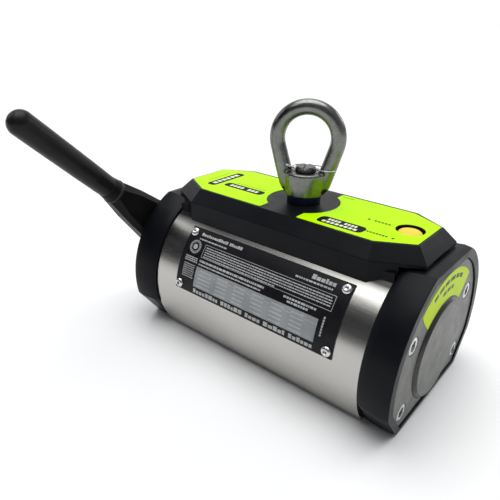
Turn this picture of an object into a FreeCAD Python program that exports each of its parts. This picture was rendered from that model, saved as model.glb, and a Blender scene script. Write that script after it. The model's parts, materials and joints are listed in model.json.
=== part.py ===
import FreeCAD, Part
import math
import os
import re
import Sketcher
from FreeCAD import Placement, Rotation, Vector

# Hand-switched permanent lifting magnet with a barrel body.
# Frame: origin at the centre of the flat pole faces, +X along the barrel towards the closed end,
# the lever end at -X, +Y to the back, +Z up through the lifting eye.  Millimetres.
# The barrel's rotor turns about an axis parallel to X at axis_z above the pole faces.

doc = FreeCAD.newDocument("lifting_magnet")
sheet = doc.addObject("Spreadsheet::Sheet", "Dims")

DIMENSIONS = {
    "axis_z": 45.0,            # rotor axis above the pole faces
    "core_half": 100.0,        # half length of the pole pieces
    "core_radius": 70.9,       # outside radius of the pole pieces
    "shell_radius": 72.5,      # outside radius of the stainless cover
    "shell_wall": 1.5,
    "shell_foot": 0.8,         # height of the cover's lower edges
    "spacer_half": 5.0,        # half thickness of the brass spacers
    "rotor_bore": 38.0,
    "rotor_radius": 37.6,
    "rotor_half": 90.0,        # half length of the rotor's steel
    "magnet_half": 10.0,       # half thickness of the rotor's magnet slab
    "magnet_width": 70.0,
    "flange_wide": 37.0,       # radius of the rotor's end flanges
    "flange_thick": 5.0,
    "journal_radius": 12.0,
    "running_gap": 0.05,       # radial clearance of journals in bushes
    "slot_half": 23.0,         # half width of the milled slot for the lifting bar
    "slot_floor": 104.0,
    "bar_half_width": 22.0,
    "bar_top": 121.0,
    "bar_step": 117.0,         # the bar is longer above this height
    "bar_long": 104.0,
    "bar_short": 97.0,
    "gasket": 0.8,
    "cap_throat": 73.8,        # cap radius where it meets the cover
    "cap_lip_x": 106.0,
    "cap_lip": 76.0,
    "cap_ridge_x": 119.3,
    "cap_ridge": 77.6,
    "cap_face_x": 125.3,
    "cap_face": 76.8,
    "cap_top": 115.3,
    "cap_corner": 27.0,        # height where the cut lower corner meets the round side
    "cap_foot": 55.0,
    "cap_floor": 0.5,
    "plate_radius": 68.6,
    "plate_top": 107.6,
    "plate_foot": 49.5,
    "plate_floor": 5.0,
    "plate_in_x": 117.0,
    "plate_out_x": 124.0,
    "plate_gap": 0.5,
    "screw_y": 49.0,           # cap screw positions
    "screw_low": 16.8,
    "screw_high": 71.8,
    "screw_head": 6.5,
    "screw_sink": 7.0,
    "screw_shank": 4.0,
    "screw_reach": 80.0,
    "disc_radius": 39.6,
    "disc_front": 37.0,
    "disc_out_x": 126.6,
    "bush_radius": 16.0,
    "bush_flange": 22.0,
    "bush_in_x": 95.5,
    "house_foot": 99.0,
    "house_shoulder": 118.0,
    "house_top": 128.0,
    "neck_half": 40.0,         # the housing's narrower foot between the caps
    "neck_top": 112.0,
    "cavity_half": 24.5,
    "label_thick": 0.3,
    "eye_turn": 26.0,          # the eye's plane, turned from the barrel's axis
    "eye_ring": 23.4,
    "eye_stock": 6.0,
    "eye_centre": 178.0,
    "eye_seat": 135.0,
    "eye_shoulder": 152.5,
    "eye_base": 14.4,
    "eye_lean": 16.0,
    "stud_radius": 7.95,
    "stud_top": 156.5,
    "plug_x": 90.7,
    "tag_left": -75.0,
    "tag_right": 79.0,
    "tag_start": 41.5,         # degrees from the top, towards the front
    "tag_sweep": 43.0,
    "lever_lean": 46.5,        # rest angle of the lever from the vertical
    "lever_x": -136.5,
    "hub_radius": 30.0,
    "hub_in_x": -124.6,
    "hub_out_x": -147.0,
    "hub_recess": 18.0,
    "hub_recess_x": -135.0,
    "arm_end": 113.5,
    "ferrule_end": 123.5,
    "grip_end": 221.0,
    "grip_radius": 9.6,
    "rod_radius": 6.5,
    "stop_orbit": 25.0,
    "stop_radius": 3.0,
    "stop_swing": 93.0,
}


def fill_sheet():
    for row, (alias, value) in enumerate(DIMENSIONS.items(), start=1):
        sheet.set("A%d" % row, alias)
        sheet.set("B%d" % row, str(value))
        sheet.setAlias("B%d" % row, alias)
    doc.recompute()


fill_sheet()


def named(expression):
    """The expression with each dimension's alias read from the sheet."""
    return re.sub(r"[a-z_]+", lambda m: "Dims." + m[0] if m[0] in DIMENSIONS else m[0], expression)


def number(expression):
    value = sheet.evalExpression(named(expression))
    return float(getattr(value, "Value", value))


# ---------------------------------------------------------------- building blocks


def new_body(name):
    body = doc.addObject("PartDesign::Body", name)
    body.Label = name
    body.AllowCompound = True
    return body


def place(obj, base=("0", "0", "0"), axis=(1, 0, 0), angle=None):
    """Put an object at a named place, turned about one axis."""
    if angle is not None:
        obj.Placement = Placement(Vector(0, 0, 0), Rotation(Vector(*axis), 10))
        obj.setExpression("Placement.Rotation.Angle", named(angle))
    for key, expression in zip("xyz", base):
        obj.setExpression("Placement.Base." + key, named(expression))


def sketch(body, role, offset="0"):
    """A sketch on one of the body's own origin planes, moved along its normal."""
    sk = body.newObject("Sketcher::SketchObject", body.Name + "_sketch")
    plane = [f for f in body.Origin.OriginFeatures if f.Role == role][0]
    sk.AttachmentSupport = [(plane, "")]
    sk.MapMode = "FlatFace"
    sk.setExpression("AttachmentOffset.Base.z", named(offset))
    return sk


def radial_sketch(body, radius, turn, centre="0"):
    """A sketch facing outwards at a radius from the barrel's axis, turned from the top to the front."""
    sk = sketch(body, "XY_Plane")
    sk.AttachmentOffset = Placement(Vector(0, 0, 0), Rotation(Vector(1, 0, 0), 10))
    sk.setExpression("AttachmentOffset.Rotation.Angle", named(turn))
    sk.setExpression("AttachmentOffset.Base.y", named("-(%s) * sin(%s)" % (radius, turn)))
    sk.setExpression("AttachmentOffset.Base.z", named("%s + (%s) * cos(%s)" % (centre, radius, turn)))
    return sk


def pin(sk, kind, target, expression):
    """One driving constraint, bound to the sheet."""
    index = sk.addConstraint(Sketcher.Constraint(kind, *target, number(expression)))
    sk.setExpression("Constraints[%d]" % index, named(expression))


def pin_point(sk, geometry, end, x=None, y=None):
    if x is not None:
        pin(sk, "DistanceX", (-1, 1, geometry, end), x)
    if y is not None:
        pin(sk, "DistanceY", (-1, 1, geometry, end), y)


def outline(sk, points):
    """A closed outline of straight edges through named points."""
    corners = [Vector(number(x), number(y), 0) for x, y in points]
    count = len(corners)
    first = sk.GeometryCount
    for i in range(count):
        sk.addGeometry(Part.LineSegment(corners[i], corners[(i + 1) % count]), False)
    for i in range(count):
        sk.addConstraint(Sketcher.Constraint("Coincident", first + i, 2, first + (i + 1) % count, 1))
    for i, (x, y) in enumerate(points):
        pin_point(sk, first + i, 1, x, y)


def rectangle(sk, x_low, x_high, y_low, y_high):
    outline(sk, [(x_low, y_low), (x_high, y_low), (x_high, y_high), (x_low, y_high)])


def circle(sk, radius, x="0", y="0"):
    centre = Vector(number(x), number(y), 0)
    geometry = sk.addGeometry(Part.Circle(centre, Vector(0, 0, 1), number(radius)), False)
    pin_point(sk, geometry, 3, x, y)
    pin(sk, "Radius", (geometry,), radius)


def arc_between(sk, centre_y, radius, start, end):
    """An arc about (0, centre_y), given by its end angles in degrees, counterclockwise."""
    ring = Part.Circle(Vector(0, centre_y, 0), Vector(0, 0, 1), radius)
    return sk.addGeometry(Part.ArcOfCircle(ring, math.radians(start), math.radians(end)), False)


def line(sk, a, b):
    return sk.addGeometry(Part.LineSegment(Vector(a[0], a[1], 0), Vector(b[0], b[1], 0)), False)


def ring_sector(sk, inner, outer, start, end):
    """Part of a flat ring about the rotor axis, between two angles."""
    az, low, high = number("axis_z"), number(start), number(end)
    arcs = [arc_between(sk, az, number(r), low, high) for r in (inner, outer)]
    sides = []
    for angle in (low, high):
        c, s = math.cos(math.radians(angle)), math.sin(math.radians(angle))
        sides.append(line(sk, (number(inner) * c, az + number(inner) * s),
                          (number(outer) * c, az + number(outer) * s)))
    join(sk, [(arcs[0], 1, sides[0], 1), (sides[0], 2, arcs[1], 1),
              (arcs[1], 2, sides[1], 2), (sides[1], 1, arcs[0], 2)])
    for arc, radius in zip(arcs, (inner, outer)):
        pin_point(sk, arc, 3, "0", "axis_z")
        pin(sk, "Radius", (arc,), radius)
        pin_point(sk, arc, 1, "(%s) * cos(%s)" % (radius, start), None)
        pin_point(sk, arc, 2, "(%s) * cos(%s)" % (radius, end), None)


def join(sk, pairs):
    for g1, e1, g2, e2 in pairs:
        sk.addConstraint(Sketcher.Constraint("Coincident", g1, e1, g2, e2))


def feature(body, kind, profile=None):
    item = body.newObject("PartDesign::" + kind, body.Name + "_" + kind)
    if profile is not None:
        item.Profile = (profile, [""])
    return item


def pad(body, profile, length, backwards=False, both=False):
    item = feature(body, "Pad", profile)
    item.setExpression("Length", named(length))
    item.Reversed = backwards
    item.Midplane = both
    return item


def pocket(body, profile, length, backwards=False, both=False):
    """Cut a sketch into the body and make sure that it removes something."""
    doc.recompute()
    before = body.Shape.Volume
    item = feature(body, "Pocket", profile)
    item.setExpression("Length", named(length))
    item.Reversed = backwards
    item.Midplane = both
    doc.recompute()
    if body.Shape.Volume >= before - 1e-6:
        raise RuntimeError(item.Name + " cuts nothing")
    return item


def revolve(body, profile, axis="H_Axis"):
    item = feature(body, "Revolution", profile)
    item.ReferenceAxis = (profile, [axis])
    item.Angle = 360
    return item


def groove(body, profile, axis="H_Axis"):
    doc.recompute()
    before = body.Shape.Volume
    item = feature(body, "Groove", profile)
    item.ReferenceAxis = (profile, [axis])
    item.Angle = 360
    doc.recompute()
    if body.Shape.Volume >= before - 1e-6:
        raise RuntimeError(item.Name + " cuts nothing")
    return item


def loft(body, sections, ruled=True):
    item = feature(body, "AdditiveLoft")
    item.Profile = (sections[0], [""])
    item.Sections = [(s, [""]) for s in sections[1:]]
    item.Ruled = ruled
    return item


def dress(body, kind, size, wanted):
    """Round or bevel the edges of the body's last feature that the test picks."""
    doc.recompute()
    base = body.Tip
    names = ["Edge%d" % (i + 1) for i, e in enumerate(base.Shape.Edges) if wanted(e)]
    item = feature(body, kind)
    item.Base = (base, names)
    if kind == "Fillet":
        item.setExpression("Radius", named(size))
    else:
        item.setExpression("Size", named(size))
    doc.recompute()
    return item


def on_plane(axis, value, edge, tolerance=0.01):
    box = edge.BoundBox
    low = getattr(box, axis + "Min")
    high = getattr(box, axis + "Max")
    return abs(low - value) < tolerance and abs(high - value) < tolerance


def turned(name, points, left=False, turn=None):
    """A body turned about the X axis from an outline of (x, radius) points, set on the rotor axis."""
    body = new_body(name)
    sk = sketch(body, "XZ_Plane")
    outline(sk, points)
    revolve(body, sk)
    if left:
        place(body, ("0", "0", "axis_z"), (0, 0, 1), "180")
    else:
        place(body, ("0", "0", "axis_z"), (1, 0, 0), turn)
    return body


def spun(name, points):
    """A body turned about the Z axis from an outline of (radius, z) points."""
    body = new_body(name)
    sk = sketch(body, "XZ_Plane")
    outline(sk, points)
    revolve(body, sk, "V_Axis")
    return body


FOUR_CORNERS = [(sy, z) for sy in (1, -1) for z in ("screw_low", "screw_high")]


# ---------------------------------------------------------------- barrel: poles, spacers, cover


def pole_piece(name, side):
    """One soft-steel half of the stator, on the front (-1) or back (+1) side."""
    body = new_body(name)
    sk = sketch(body, "YZ_Plane", "-core_half")
    az, radius = number("axis_z"), number("core_radius")
    inner, slot = side * number("spacer_half"), side * number("slot_half")
    floor = number("slot_floor")
    foot = side * math.sqrt(radius ** 2 - az ** 2)
    shoulder = az + math.sqrt(radius ** 2 - slot ** 2)
    low_angle = math.degrees(math.atan2(-az, foot))
    high_angle = math.degrees(math.atan2(shoulder - az, slot))
    start, end = (low_angle, high_angle) if side > 0 else (high_angle, low_angle + 360)
    bottom = line(sk, (inner, 0), (foot, 0))
    rim = arc_between(sk, az, radius, start, end)
    drop = line(sk, (slot, shoulder), (slot, floor))
    seat = line(sk, (slot, floor), (inner, floor))
    split = line(sk, (inner, floor), (inner, 0))
    low_end, high_end = (1, 2) if side > 0 else (2, 1)
    join(sk, [(bottom, 2, rim, low_end), (rim, high_end, drop, 1), (drop, 2, seat, 1),
              (seat, 2, split, 1), (split, 2, bottom, 1)])
    sign = "" if side > 0 else "-"
    pin_point(sk, bottom, 1, sign + "spacer_half", "0")
    pin_point(sk, bottom, 2, None, "0")
    pin_point(sk, rim, 3, "0", "axis_z")
    pin(sk, "Radius", (rim,), "core_radius")
    pin_point(sk, drop, 1, sign + "slot_half", None)
    pin_point(sk, drop, 2, sign + "slot_half", "slot_floor")
    pin_point(sk, seat, 2, sign + "spacer_half", "slot_floor")
    pad(body, sk, "2 * core_half")
    bore = sketch(body, "YZ_Plane", "-core_half")
    circle(bore, "rotor_bore", "0", "axis_z")
    pocket(body, bore, "2 * core_half", backwards=True)
    for end_sign in (1, -1):
        taps = sketch(body, "YZ_Plane", "%d * core_half" % end_sign)
        for z in ("screw_low", "screw_high"):
            circle(taps, "screw_shank + 0.05", "%d * screw_y" % side, z)
        pocket(body, taps, "core_half - screw_reach + 4", backwards=end_sign < 0)
    bar_taps = sketch(body, "XY_Plane", "slot_floor")
    for x in (-1, 1):
        circle(bar_taps, "4.05", "%d * 62" % x, "%d * 14" % side)
    pocket(body, bar_taps, "17")
    if side < 0:
        tag_screw_holes(body, "shell_radius", "8", "2.05", "axis_z")
    return body


def spacer(name, low, high):
    """A brass strip that keeps the two poles apart, hollowed to the rotor's bore."""
    body = new_body(name)
    sk = sketch(body, "YZ_Plane", "-core_half")
    rectangle(sk, "-spacer_half", "spacer_half", low, high)
    pad(body, sk, "2 * core_half")
    bore = sketch(body, "YZ_Plane", "-core_half")
    circle(bore, "rotor_bore", "0", "axis_z")
    pocket(body, bore, "2 * core_half", backwards=True)
    return body


TAG_SCREW_X = ("tag_left + 4.6", "tag_right - 4.6")
TAG_SCREW_TURN = ("tag_start + 3.8", "tag_start + tag_sweep - 3.8")


def tag_screw_holes(body, start, depth, radius, centre="0"):
    """Four radial holes behind the data plate, drilled inwards from a radius."""
    for turn in TAG_SCREW_TURN:
        sk = radial_sketch(body, start, turn, centre)
        for x in TAG_SCREW_X:
            circle(sk, radius, x)
        pocket(body, sk, depth)


def cover_shell():
    """The brushed stainless cover, wrapped round the poles and open below."""
    body = new_body("shell")
    sk = sketch(body, "YZ_Plane", "-core_half")
    foot = number("shell_foot - axis_z")
    outer, inner = number("shell_radius"), number("shell_radius - shell_wall")
    out_angle = math.degrees(math.asin(foot / outer))
    in_angle = math.degrees(math.asin(foot / inner))
    out_arc = arc_between(sk, 0, outer, out_angle, 180 - out_angle)
    in_arc = arc_between(sk, 0, inner, in_angle, 180 - in_angle)
    y_out, y_in = math.sqrt(outer ** 2 - foot ** 2), math.sqrt(inner ** 2 - foot ** 2)
    right = line(sk, (y_in, foot), (y_out, foot))
    left = line(sk, (-y_out, foot), (-y_in, foot))
    join(sk, [(right, 2, out_arc, 1), (out_arc, 2, left, 1), (left, 2, in_arc, 2), (in_arc, 1, right, 1)])
    for arc, radius in ((out_arc, "shell_radius"), (in_arc, "shell_radius - shell_wall")):
        pin_point(sk, arc, 3, "0", "0")
        pin(sk, "Radius", (arc,), radius)
    for edge in (right, left):
        pin_point(sk, edge, 1, None, "shell_foot - axis_z")
        pin_point(sk, edge, 2, None, "shell_foot - axis_z")
    pad(body, sk, "2 * core_half")
    window = sketch(body, "XY_Plane", "shell_radius + 5")
    rectangle(window, "-bar_long - 5", "bar_long + 5", "-slot_half", "slot_half")
    pocket(body, window, "30")
    tag_screw_holes(body, "shell_radius + 5", "12", "2.05")
    place(body, ("0", "0", "axis_z"))
    return body


def lifting_bar():
    """The steel bar that ties both poles to the lifting eye."""
    body = new_body("lifting_bar")
    sk = sketch(body, "XY_Plane", "slot_floor")
    rectangle(sk, "-bar_short", "bar_short", "-bar_half_width", "bar_half_width")
    pad(body, sk, "bar_top - slot_floor")
    ends = sketch(body, "XY_Plane", "bar_step")
    rectangle(ends, "-bar_long", "bar_long", "-bar_half_width", "bar_half_width")
    pad(body, ends, "bar_top - bar_step")
    holes = sketch(body, "XY_Plane", "bar_top")
    circle(holes, "stud_radius + 0.1")
    circle(holes, "6", "plug_x")
    pocket(body, holes, "bar_top - slot_floor")
    heads = sketch(body, "XY_Plane", "bar_top")
    bolts = sketch(body, "XY_Plane", "bar_top")
    for x in (-1, 1):
        for y in (-1, 1):
            circle(heads, "6.8", "%d * 62" % x, "%d * 14" % y)
            circle(bolts, "4.3", "%d * 62" % x, "%d * 14" % y)
    pocket(body, heads, "8.6")
    pocket(body, bolts, "bar_top - slot_floor")
    taps = sketch(body, "XY_Plane", "bar_top")
    for x in (-1, 1):
        for y in (-1, 1):
            circle(taps, "2.05", "%d * 36" % x, "%d * 14" % y)
    pocket(body, taps, "10")
    return body


def end_cap_outline(sk, radius, top, foot, floor, corner="cap_corner"):
    """Round-sided outline with a flat foot, cut lower corners and a flat top."""
    az, r = number("axis_z"), number(radius)
    z_top, z_corner, z_floor = number(top), number(corner), number(floor)
    y_foot = number(foot)
    y_corner = math.sqrt(r ** 2 - (z_corner - az) ** 2)
    y_top = math.sqrt(r ** 2 - (z_top - az) ** 2)
    low = math.degrees(math.atan2(z_corner - az, y_corner))
    high = math.degrees(math.atan2(z_top - az, y_top))
    base = line(sk, (-y_foot, z_floor), (y_foot, z_floor))
    cut_right = line(sk, (y_foot, z_floor), (y_corner, z_corner))
    side_right = arc_between(sk, az, r, low, high)
    crown = line(sk, (y_top, z_top), (-y_top, z_top))
    side_left = arc_between(sk, az, r, 180 - high, 180 - low)
    cut_left = line(sk, (-y_corner, z_corner), (-y_foot, z_floor))
    join(sk, [(base, 2, cut_right, 1), (cut_right, 2, side_right, 1), (side_right, 2, crown, 1),
              (crown, 2, side_left, 1), (side_left, 2, cut_left, 1), (cut_left, 2, base, 1)])
    pin_point(sk, base, 1, "-(%s)" % foot, floor)
    pin_point(sk, base, 2, foot, floor)
    for arc in (side_right, side_left):
        pin_point(sk, arc, 3, "0", "axis_z")
        pin(sk, "Radius", (arc,), radius)
    pin_point(sk, side_right, 1, None, corner)
    pin_point(sk, side_left, 2, None, corner)
    pin_point(sk, crown, 1, None, top)
    pin_point(sk, crown, 2, None, top)


def end_cap(name):
    """One moulded end cap, drawn for the closed end."""
    body = new_body(name)
    stations = [
        ("core_half + gasket", "cap_throat", "3.8"),
        ("cap_lip_x", "cap_lip", "1.6"),
        ("cap_ridge_x", "cap_ridge", "0"),
        ("cap_face_x", "cap_face", "0.8"),
    ]
    sections = []
    for x, radius, inset in stations:
        sk = sketch(body, "YZ_Plane", x)
        end_cap_outline(sk, radius, "cap_top - " + inset, "cap_foot - %s / 2" % inset,
                        "cap_floor" if inset != "0.8" else "cap_floor + 0.8")
        sections.append(sk)
    loft(body, sections)
    recess = sketch(body, "YZ_Plane", "cap_face_x")
    end_cap_outline(recess, "plate_radius + plate_gap", "plate_top + plate_gap",
                    "plate_foot + plate_gap", "plate_floor - plate_gap")
    pocket(body, recess, "cap_face_x - plate_in_x")
    bore = sketch(body, "YZ_Plane", "plate_in_x")
    circle(bore, "bush_radius", "0", "axis_z")
    pocket(body, bore, "plate_in_x - core_half")
    holes = sketch(body, "YZ_Plane", "plate_in_x")
    for side, z in FOUR_CORNERS:
        circle(holes, "screw_shank + 0.5", "%d * screw_y" % side, z)
    pocket(body, holes, "plate_in_x - core_half")
    return body


def end_gasket(name):
    body = new_body(name)
    sk = sketch(body, "YZ_Plane", "core_half")
    end_cap_outline(sk, "cap_throat - 2.4", "cap_top - 6.2", "cap_foot - 2.5", "cap_floor + 0.5")
    pad(body, sk, "gasket")
    holes = sketch(body, "YZ_Plane", "core_half + gasket")
    circle(holes, "rotor_bore + 1", "0", "axis_z")
    for side, z in FOUR_CORNERS:
        circle(holes, "screw_shank + 0.5", "%d * screw_y" % side, z)
    pocket(body, holes, "gasket")
    return body


def end_plate(name, centre_hole):
    """The flat plate let into an end cap, with counterbored screw holes."""
    body = new_body(name)
    sk = sketch(body, "YZ_Plane", "plate_in_x")
    end_cap_outline(sk, "plate_radius", "plate_top", "plate_foot", "plate_floor")
    pad(body, sk, "plate_out_x - plate_in_x")
    centre = sketch(body, "YZ_Plane", "plate_out_x")
    circle(centre, centre_hole, "0", "axis_z")
    pocket(body, centre, "plate_out_x - plate_in_x")
    sinks = sketch(body, "YZ_Plane", "plate_out_x")
    shanks = sketch(body, "YZ_Plane", "plate_out_x")
    for side, z in FOUR_CORNERS:
        circle(sinks, "screw_sink", "%d * screw_y" % side, z)
        circle(shanks, "screw_shank + 0.5", "%d * screw_y" % side, z)
    pocket(body, sinks, "5.2")
    pocket(body, shanks, "plate_out_x - plate_in_x")
    return body


def lever_end_plate():
    """The plate behind the lever's hub: a seal pocket and the arc groove that ends the turn, without a lock."""
    body = end_plate("index_plate_left", "journal_radius + 1.2")
    seal = sketch(body, "YZ_Plane", "plate_in_x")
    circle(seal, "17", "0", "axis_z")
    pocket(body, seal, "4", backwards=True)
    # This plate is turned half round about Z, so its own +Y becomes the row's -Y.
    arc = sketch(body, "YZ_Plane", "plate_out_x")
    ring_sector(arc, "stop_orbit - stop_radius - 0.4", "stop_orbit + stop_radius + 0.4",
                "90 - lever_lean", "90 - lever_lean + stop_swing")
    pocket(body, arc, "3.9")
    ends = sketch(body, "YZ_Plane", "plate_out_x")
    for turn in ("lever_lean", "lever_lean - stop_swing"):
        circle(ends, "stop_radius + 0.4", "stop_orbit * sin(%s)" % turn,
               "axis_z + stop_orbit * cos(%s)" % turn)
    pocket(body, ends, "3.9")
    return body


def bearing_disc():
    """The faced disc on the closed end, pressed into the plate to blind the bearing."""
    return turned("bearing_disc", [
        ("plate_in_x + 0.1", "0"), ("disc_out_x", "0"), ("disc_out_x", "disc_front"),
        ("plate_out_x + 0.4", "disc_radius"), ("plate_in_x + 0.1", "disc_radius")])


def bush(name, left):
    return turned(name, [
        ("bush_in_x", "journal_radius + running_gap"), ("plate_in_x - 0.1", "journal_radius + running_gap"),
        ("plate_in_x - 0.1", "bush_radius - 0.02"), ("core_half + gasket - 0.1", "bush_radius - 0.02"),
        ("core_half + gasket - 0.1", "bush_flange"), ("bush_in_x", "bush_flange")], left)


def shaft_seal():
    return turned("shaft_seal", [
        ("plate_in_x + 0.2", "journal_radius + running_gap"),
        ("plate_in_x + 3.8", "journal_radius + running_gap"),
        ("plate_in_x + 3.8", "16.9"), ("plate_in_x + 0.2", "16.9")], left=True)


def hex_points(x, y, across_flats):
    corner = "(%s) / sqrt(3)" % across_flats
    return [("%s + %s * cos(%d)" % (x, corner, a), "%s + %s * sin(%d)" % (y, corner, a))
            for a in range(0, 360, 60)]


def cap_screws(name):
    """Four low-head socket screws through an end plate and cap into the poles."""
    body = new_body(name)
    shanks = sketch(body, "YZ_Plane", "screw_reach")
    heads = sketch(body, "YZ_Plane", "plate_out_x - 5.15")
    for side, z in FOUR_CORNERS:
        circle(shanks, "screw_shank", "%d * screw_y" % side, z)
        circle(heads, "screw_head", "%d * screw_y" % side, z)
    pad(body, shanks, "plate_out_x - 5.15 - screw_reach")
    pad(body, heads, "5")
    sockets = sketch(body, "YZ_Plane", "plate_out_x - 0.15")
    for side, z in FOUR_CORNERS:
        outline(sockets, hex_points("%d * screw_y" % side, z, "6"))
    pocket(body, sockets, "3")
    return body


# ---------------------------------------------------------------- top housing, labels, plug


def octagon(sk, half_length, corner_x, half_width, end_half):
    a, c, w, e = half_length, corner_x, half_width, end_half
    outline(sk, [("-" + a, "-" + e), ("-" + c, "-" + w), (c, "-" + w), (a, "-" + e),
                 (a, e), (c, w), ("-" + c, w), ("-" + a, e)])


def top_housing():
    """The cast cover over the lifting bar, saddled on the barrel, with a bevel all round."""
    body = new_body("top_housing")
    foot = sketch(body, "XY_Plane", "house_foot")
    octagon(foot, "115.5", "83", "45", "27")
    pad(body, foot, "house_shoulder - house_foot")
    lower = sketch(body, "XY_Plane", "house_shoulder")
    octagon(lower, "115.5", "83", "45", "27")
    upper = sketch(body, "XY_Plane", "house_top")
    octagon(upper, "106.5", "80.3", "36.2", "21")
    loft(body, [lower, upper])
    top = number("house_top")
    shoulder = number("house_shoulder")
    dress(body, "Fillet", "1.2", lambda e: on_plane("Z", shoulder, e) or (
        e.BoundBox.ZMin > shoulder - 0.01 and not on_plane("Z", top, e)))
    neck = sketch(body, "XY_Plane", "house_foot")
    rectangle(neck, "-core_half - 0.4", "core_half + 0.4", "-neck_half", "neck_half")
    pad(body, neck, "neck_top - house_foot")
    cavity = sketch(body, "XY_Plane", "house_foot")
    rectangle(cavity, "-bar_long - 1.5", "bar_long + 1.5", "-cavity_half", "cavity_half")
    pocket(body, cavity, "bar_top + 3 - house_foot", backwards=True)
    saddle = sketch(body, "YZ_Plane", "-120")
    circle(saddle, "shell_radius + 0.3", "0", "axis_z")
    pocket(body, saddle, "240", backwards=True)
    over_caps = sketch(body, "XY_Plane", "house_foot")
    rectangle(over_caps, "core_half + 0.4", "120", "-60", "60")
    rectangle(over_caps, "-120", "-core_half - 0.4", "-60", "60")
    pocket(body, over_caps, "cap_top + 0.7 - house_foot", backwards=True)
    holes = sketch(body, "XY_Plane", "house_top")
    circle(holes, "9")
    circle(holes, "10.4", "plug_x")
    for x in (-1, 1):
        for y in (-1, 1):
            circle(holes, "2.4", "%d * 36" % x, "%d * 14" % y)
    pocket(body, holes, "6")
    sinks = sketch(body, "XY_Plane", "house_top")
    for x in (-1, 1):
        for y in (-1, 1):
            circle(sinks, "4.2", "%d * 36" % x, "%d * 14" % y)
    pocket(body, sinks, "2.4")
    return body


def four_top_screws(name, x, y, head_z, head_radius, head_height, shank_radius, shank_low):
    """Four vertical socket screws, heads up, at the corners of a rectangle."""
    body = new_body(name)
    shanks = sketch(body, "XY_Plane", shank_low)
    heads = sketch(body, "XY_Plane", head_z)
    centres = [("%d * %s" % (sx, x), "%d * %s" % (sy, y)) for sx in (-1, 1) for sy in (-1, 1)]
    for cx, cy in centres:
        circle(shanks, shank_radius, cx, cy)
        circle(heads, head_radius, cx, cy)
    pad(body, shanks, "%s - %s" % (head_z, shank_low))
    pad(body, heads, head_height)
    sockets = sketch(body, "XY_Plane", "%s + %s" % (head_z, head_height))
    for cx, cy in centres:
        outline(sockets, hex_points(cx, cy, "%s * 0.95" % head_radius))
    pocket(body, sockets, "%s * 0.6" % head_height)
    return body


def label_panel(name, side):
    """One coloured panel on the housing, cut clear of the eye."""
    body = new_body(name)
    s = "%d * " % side
    sk = sketch(body, "XY_Plane", "house_top")
    outline(sk, [(s + "17", "-34.7"), (s + "79.6", "-34.7"), (s + "105", "-20.3"),
                 (s + "105", "20.3"), (s + "79.6", "34.7"), (s + "17", "34.7")])
    pad(body, sk, "label_thick")
    cut = sketch(body, "XY_Plane", "house_top + label_thick")
    circle(cut, "29.5")
    if side > 0:
        circle(cut, "10.4", "plug_x")
    pocket(body, cut, "label_thick")
    return body


def thread_plug():
    body = spun("thread_plug", [("0", "bar_top - 10"), ("5.9", "bar_top - 10"), ("5.9", "bar_top"),
                                ("8.7", "bar_top"), ("8.7", "house_top - 0.3"), ("0", "house_top - 0.3")])
    top = number("house_top - 0.3")
    dress(body, "Fillet", "3.4", lambda e: on_plane("Z", top, e))
    place(body, ("plug_x", "0", "0"))
    return body


# ---------------------------------------------------------------- lifting eye


def eye_collar():
    body = spun("eye_collar", [("stud_radius + 0.15", "house_top"), ("13.4", "house_top"),
                               ("13.4", "eye_seat - 1"), ("12.4", "eye_seat"),
                               ("stud_radius + 0.15", "eye_seat")])
    return body


def eye_stud():
    """The threaded stud between the bar and the eye, slotted and cross-drilled for the lock wire."""
    body = spun("eye_stud", [("0", "slot_floor + 1"), ("stud_radius", "slot_floor + 1"),
                             ("stud_radius", "stud_top - 1"), ("stud_radius - 1", "stud_top"),
                             ("0", "stud_top")])
    slot = sketch(body, "XY_Plane", "stud_top")
    rectangle(slot, "-1.2", "1.2", "-stud_radius - 1", "stud_radius + 1")
    pocket(body, slot, "1.4")
    hole = sketch(body, "YZ_Plane", "-stud_radius - 1")
    circle(hole, "0.9", "0", "stud_top - 2.3")
    pocket(body, hole, "2 * stud_radius + 2", backwards=True)
    place(body, angle="eye_turn", axis=(0, 0, 1))
    return body


def part_object(kind, name, base, turn=Rotation(), **sizes):
    """A Part primitive whose sizes and place are bound to the sheet."""
    item = doc.addObject("Part::" + kind, name)
    for key, expression in sizes.items():
        item.setExpression(key, named(expression))
    item.Placement = Placement(Vector(0, 0, 0), turn)
    place(item, base)
    return item


def boolean(kind, name, base, tool):
    item = doc.addObject("Part::" + kind, name)
    item.Base = base
    item.Tool = tool
    return item


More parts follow.
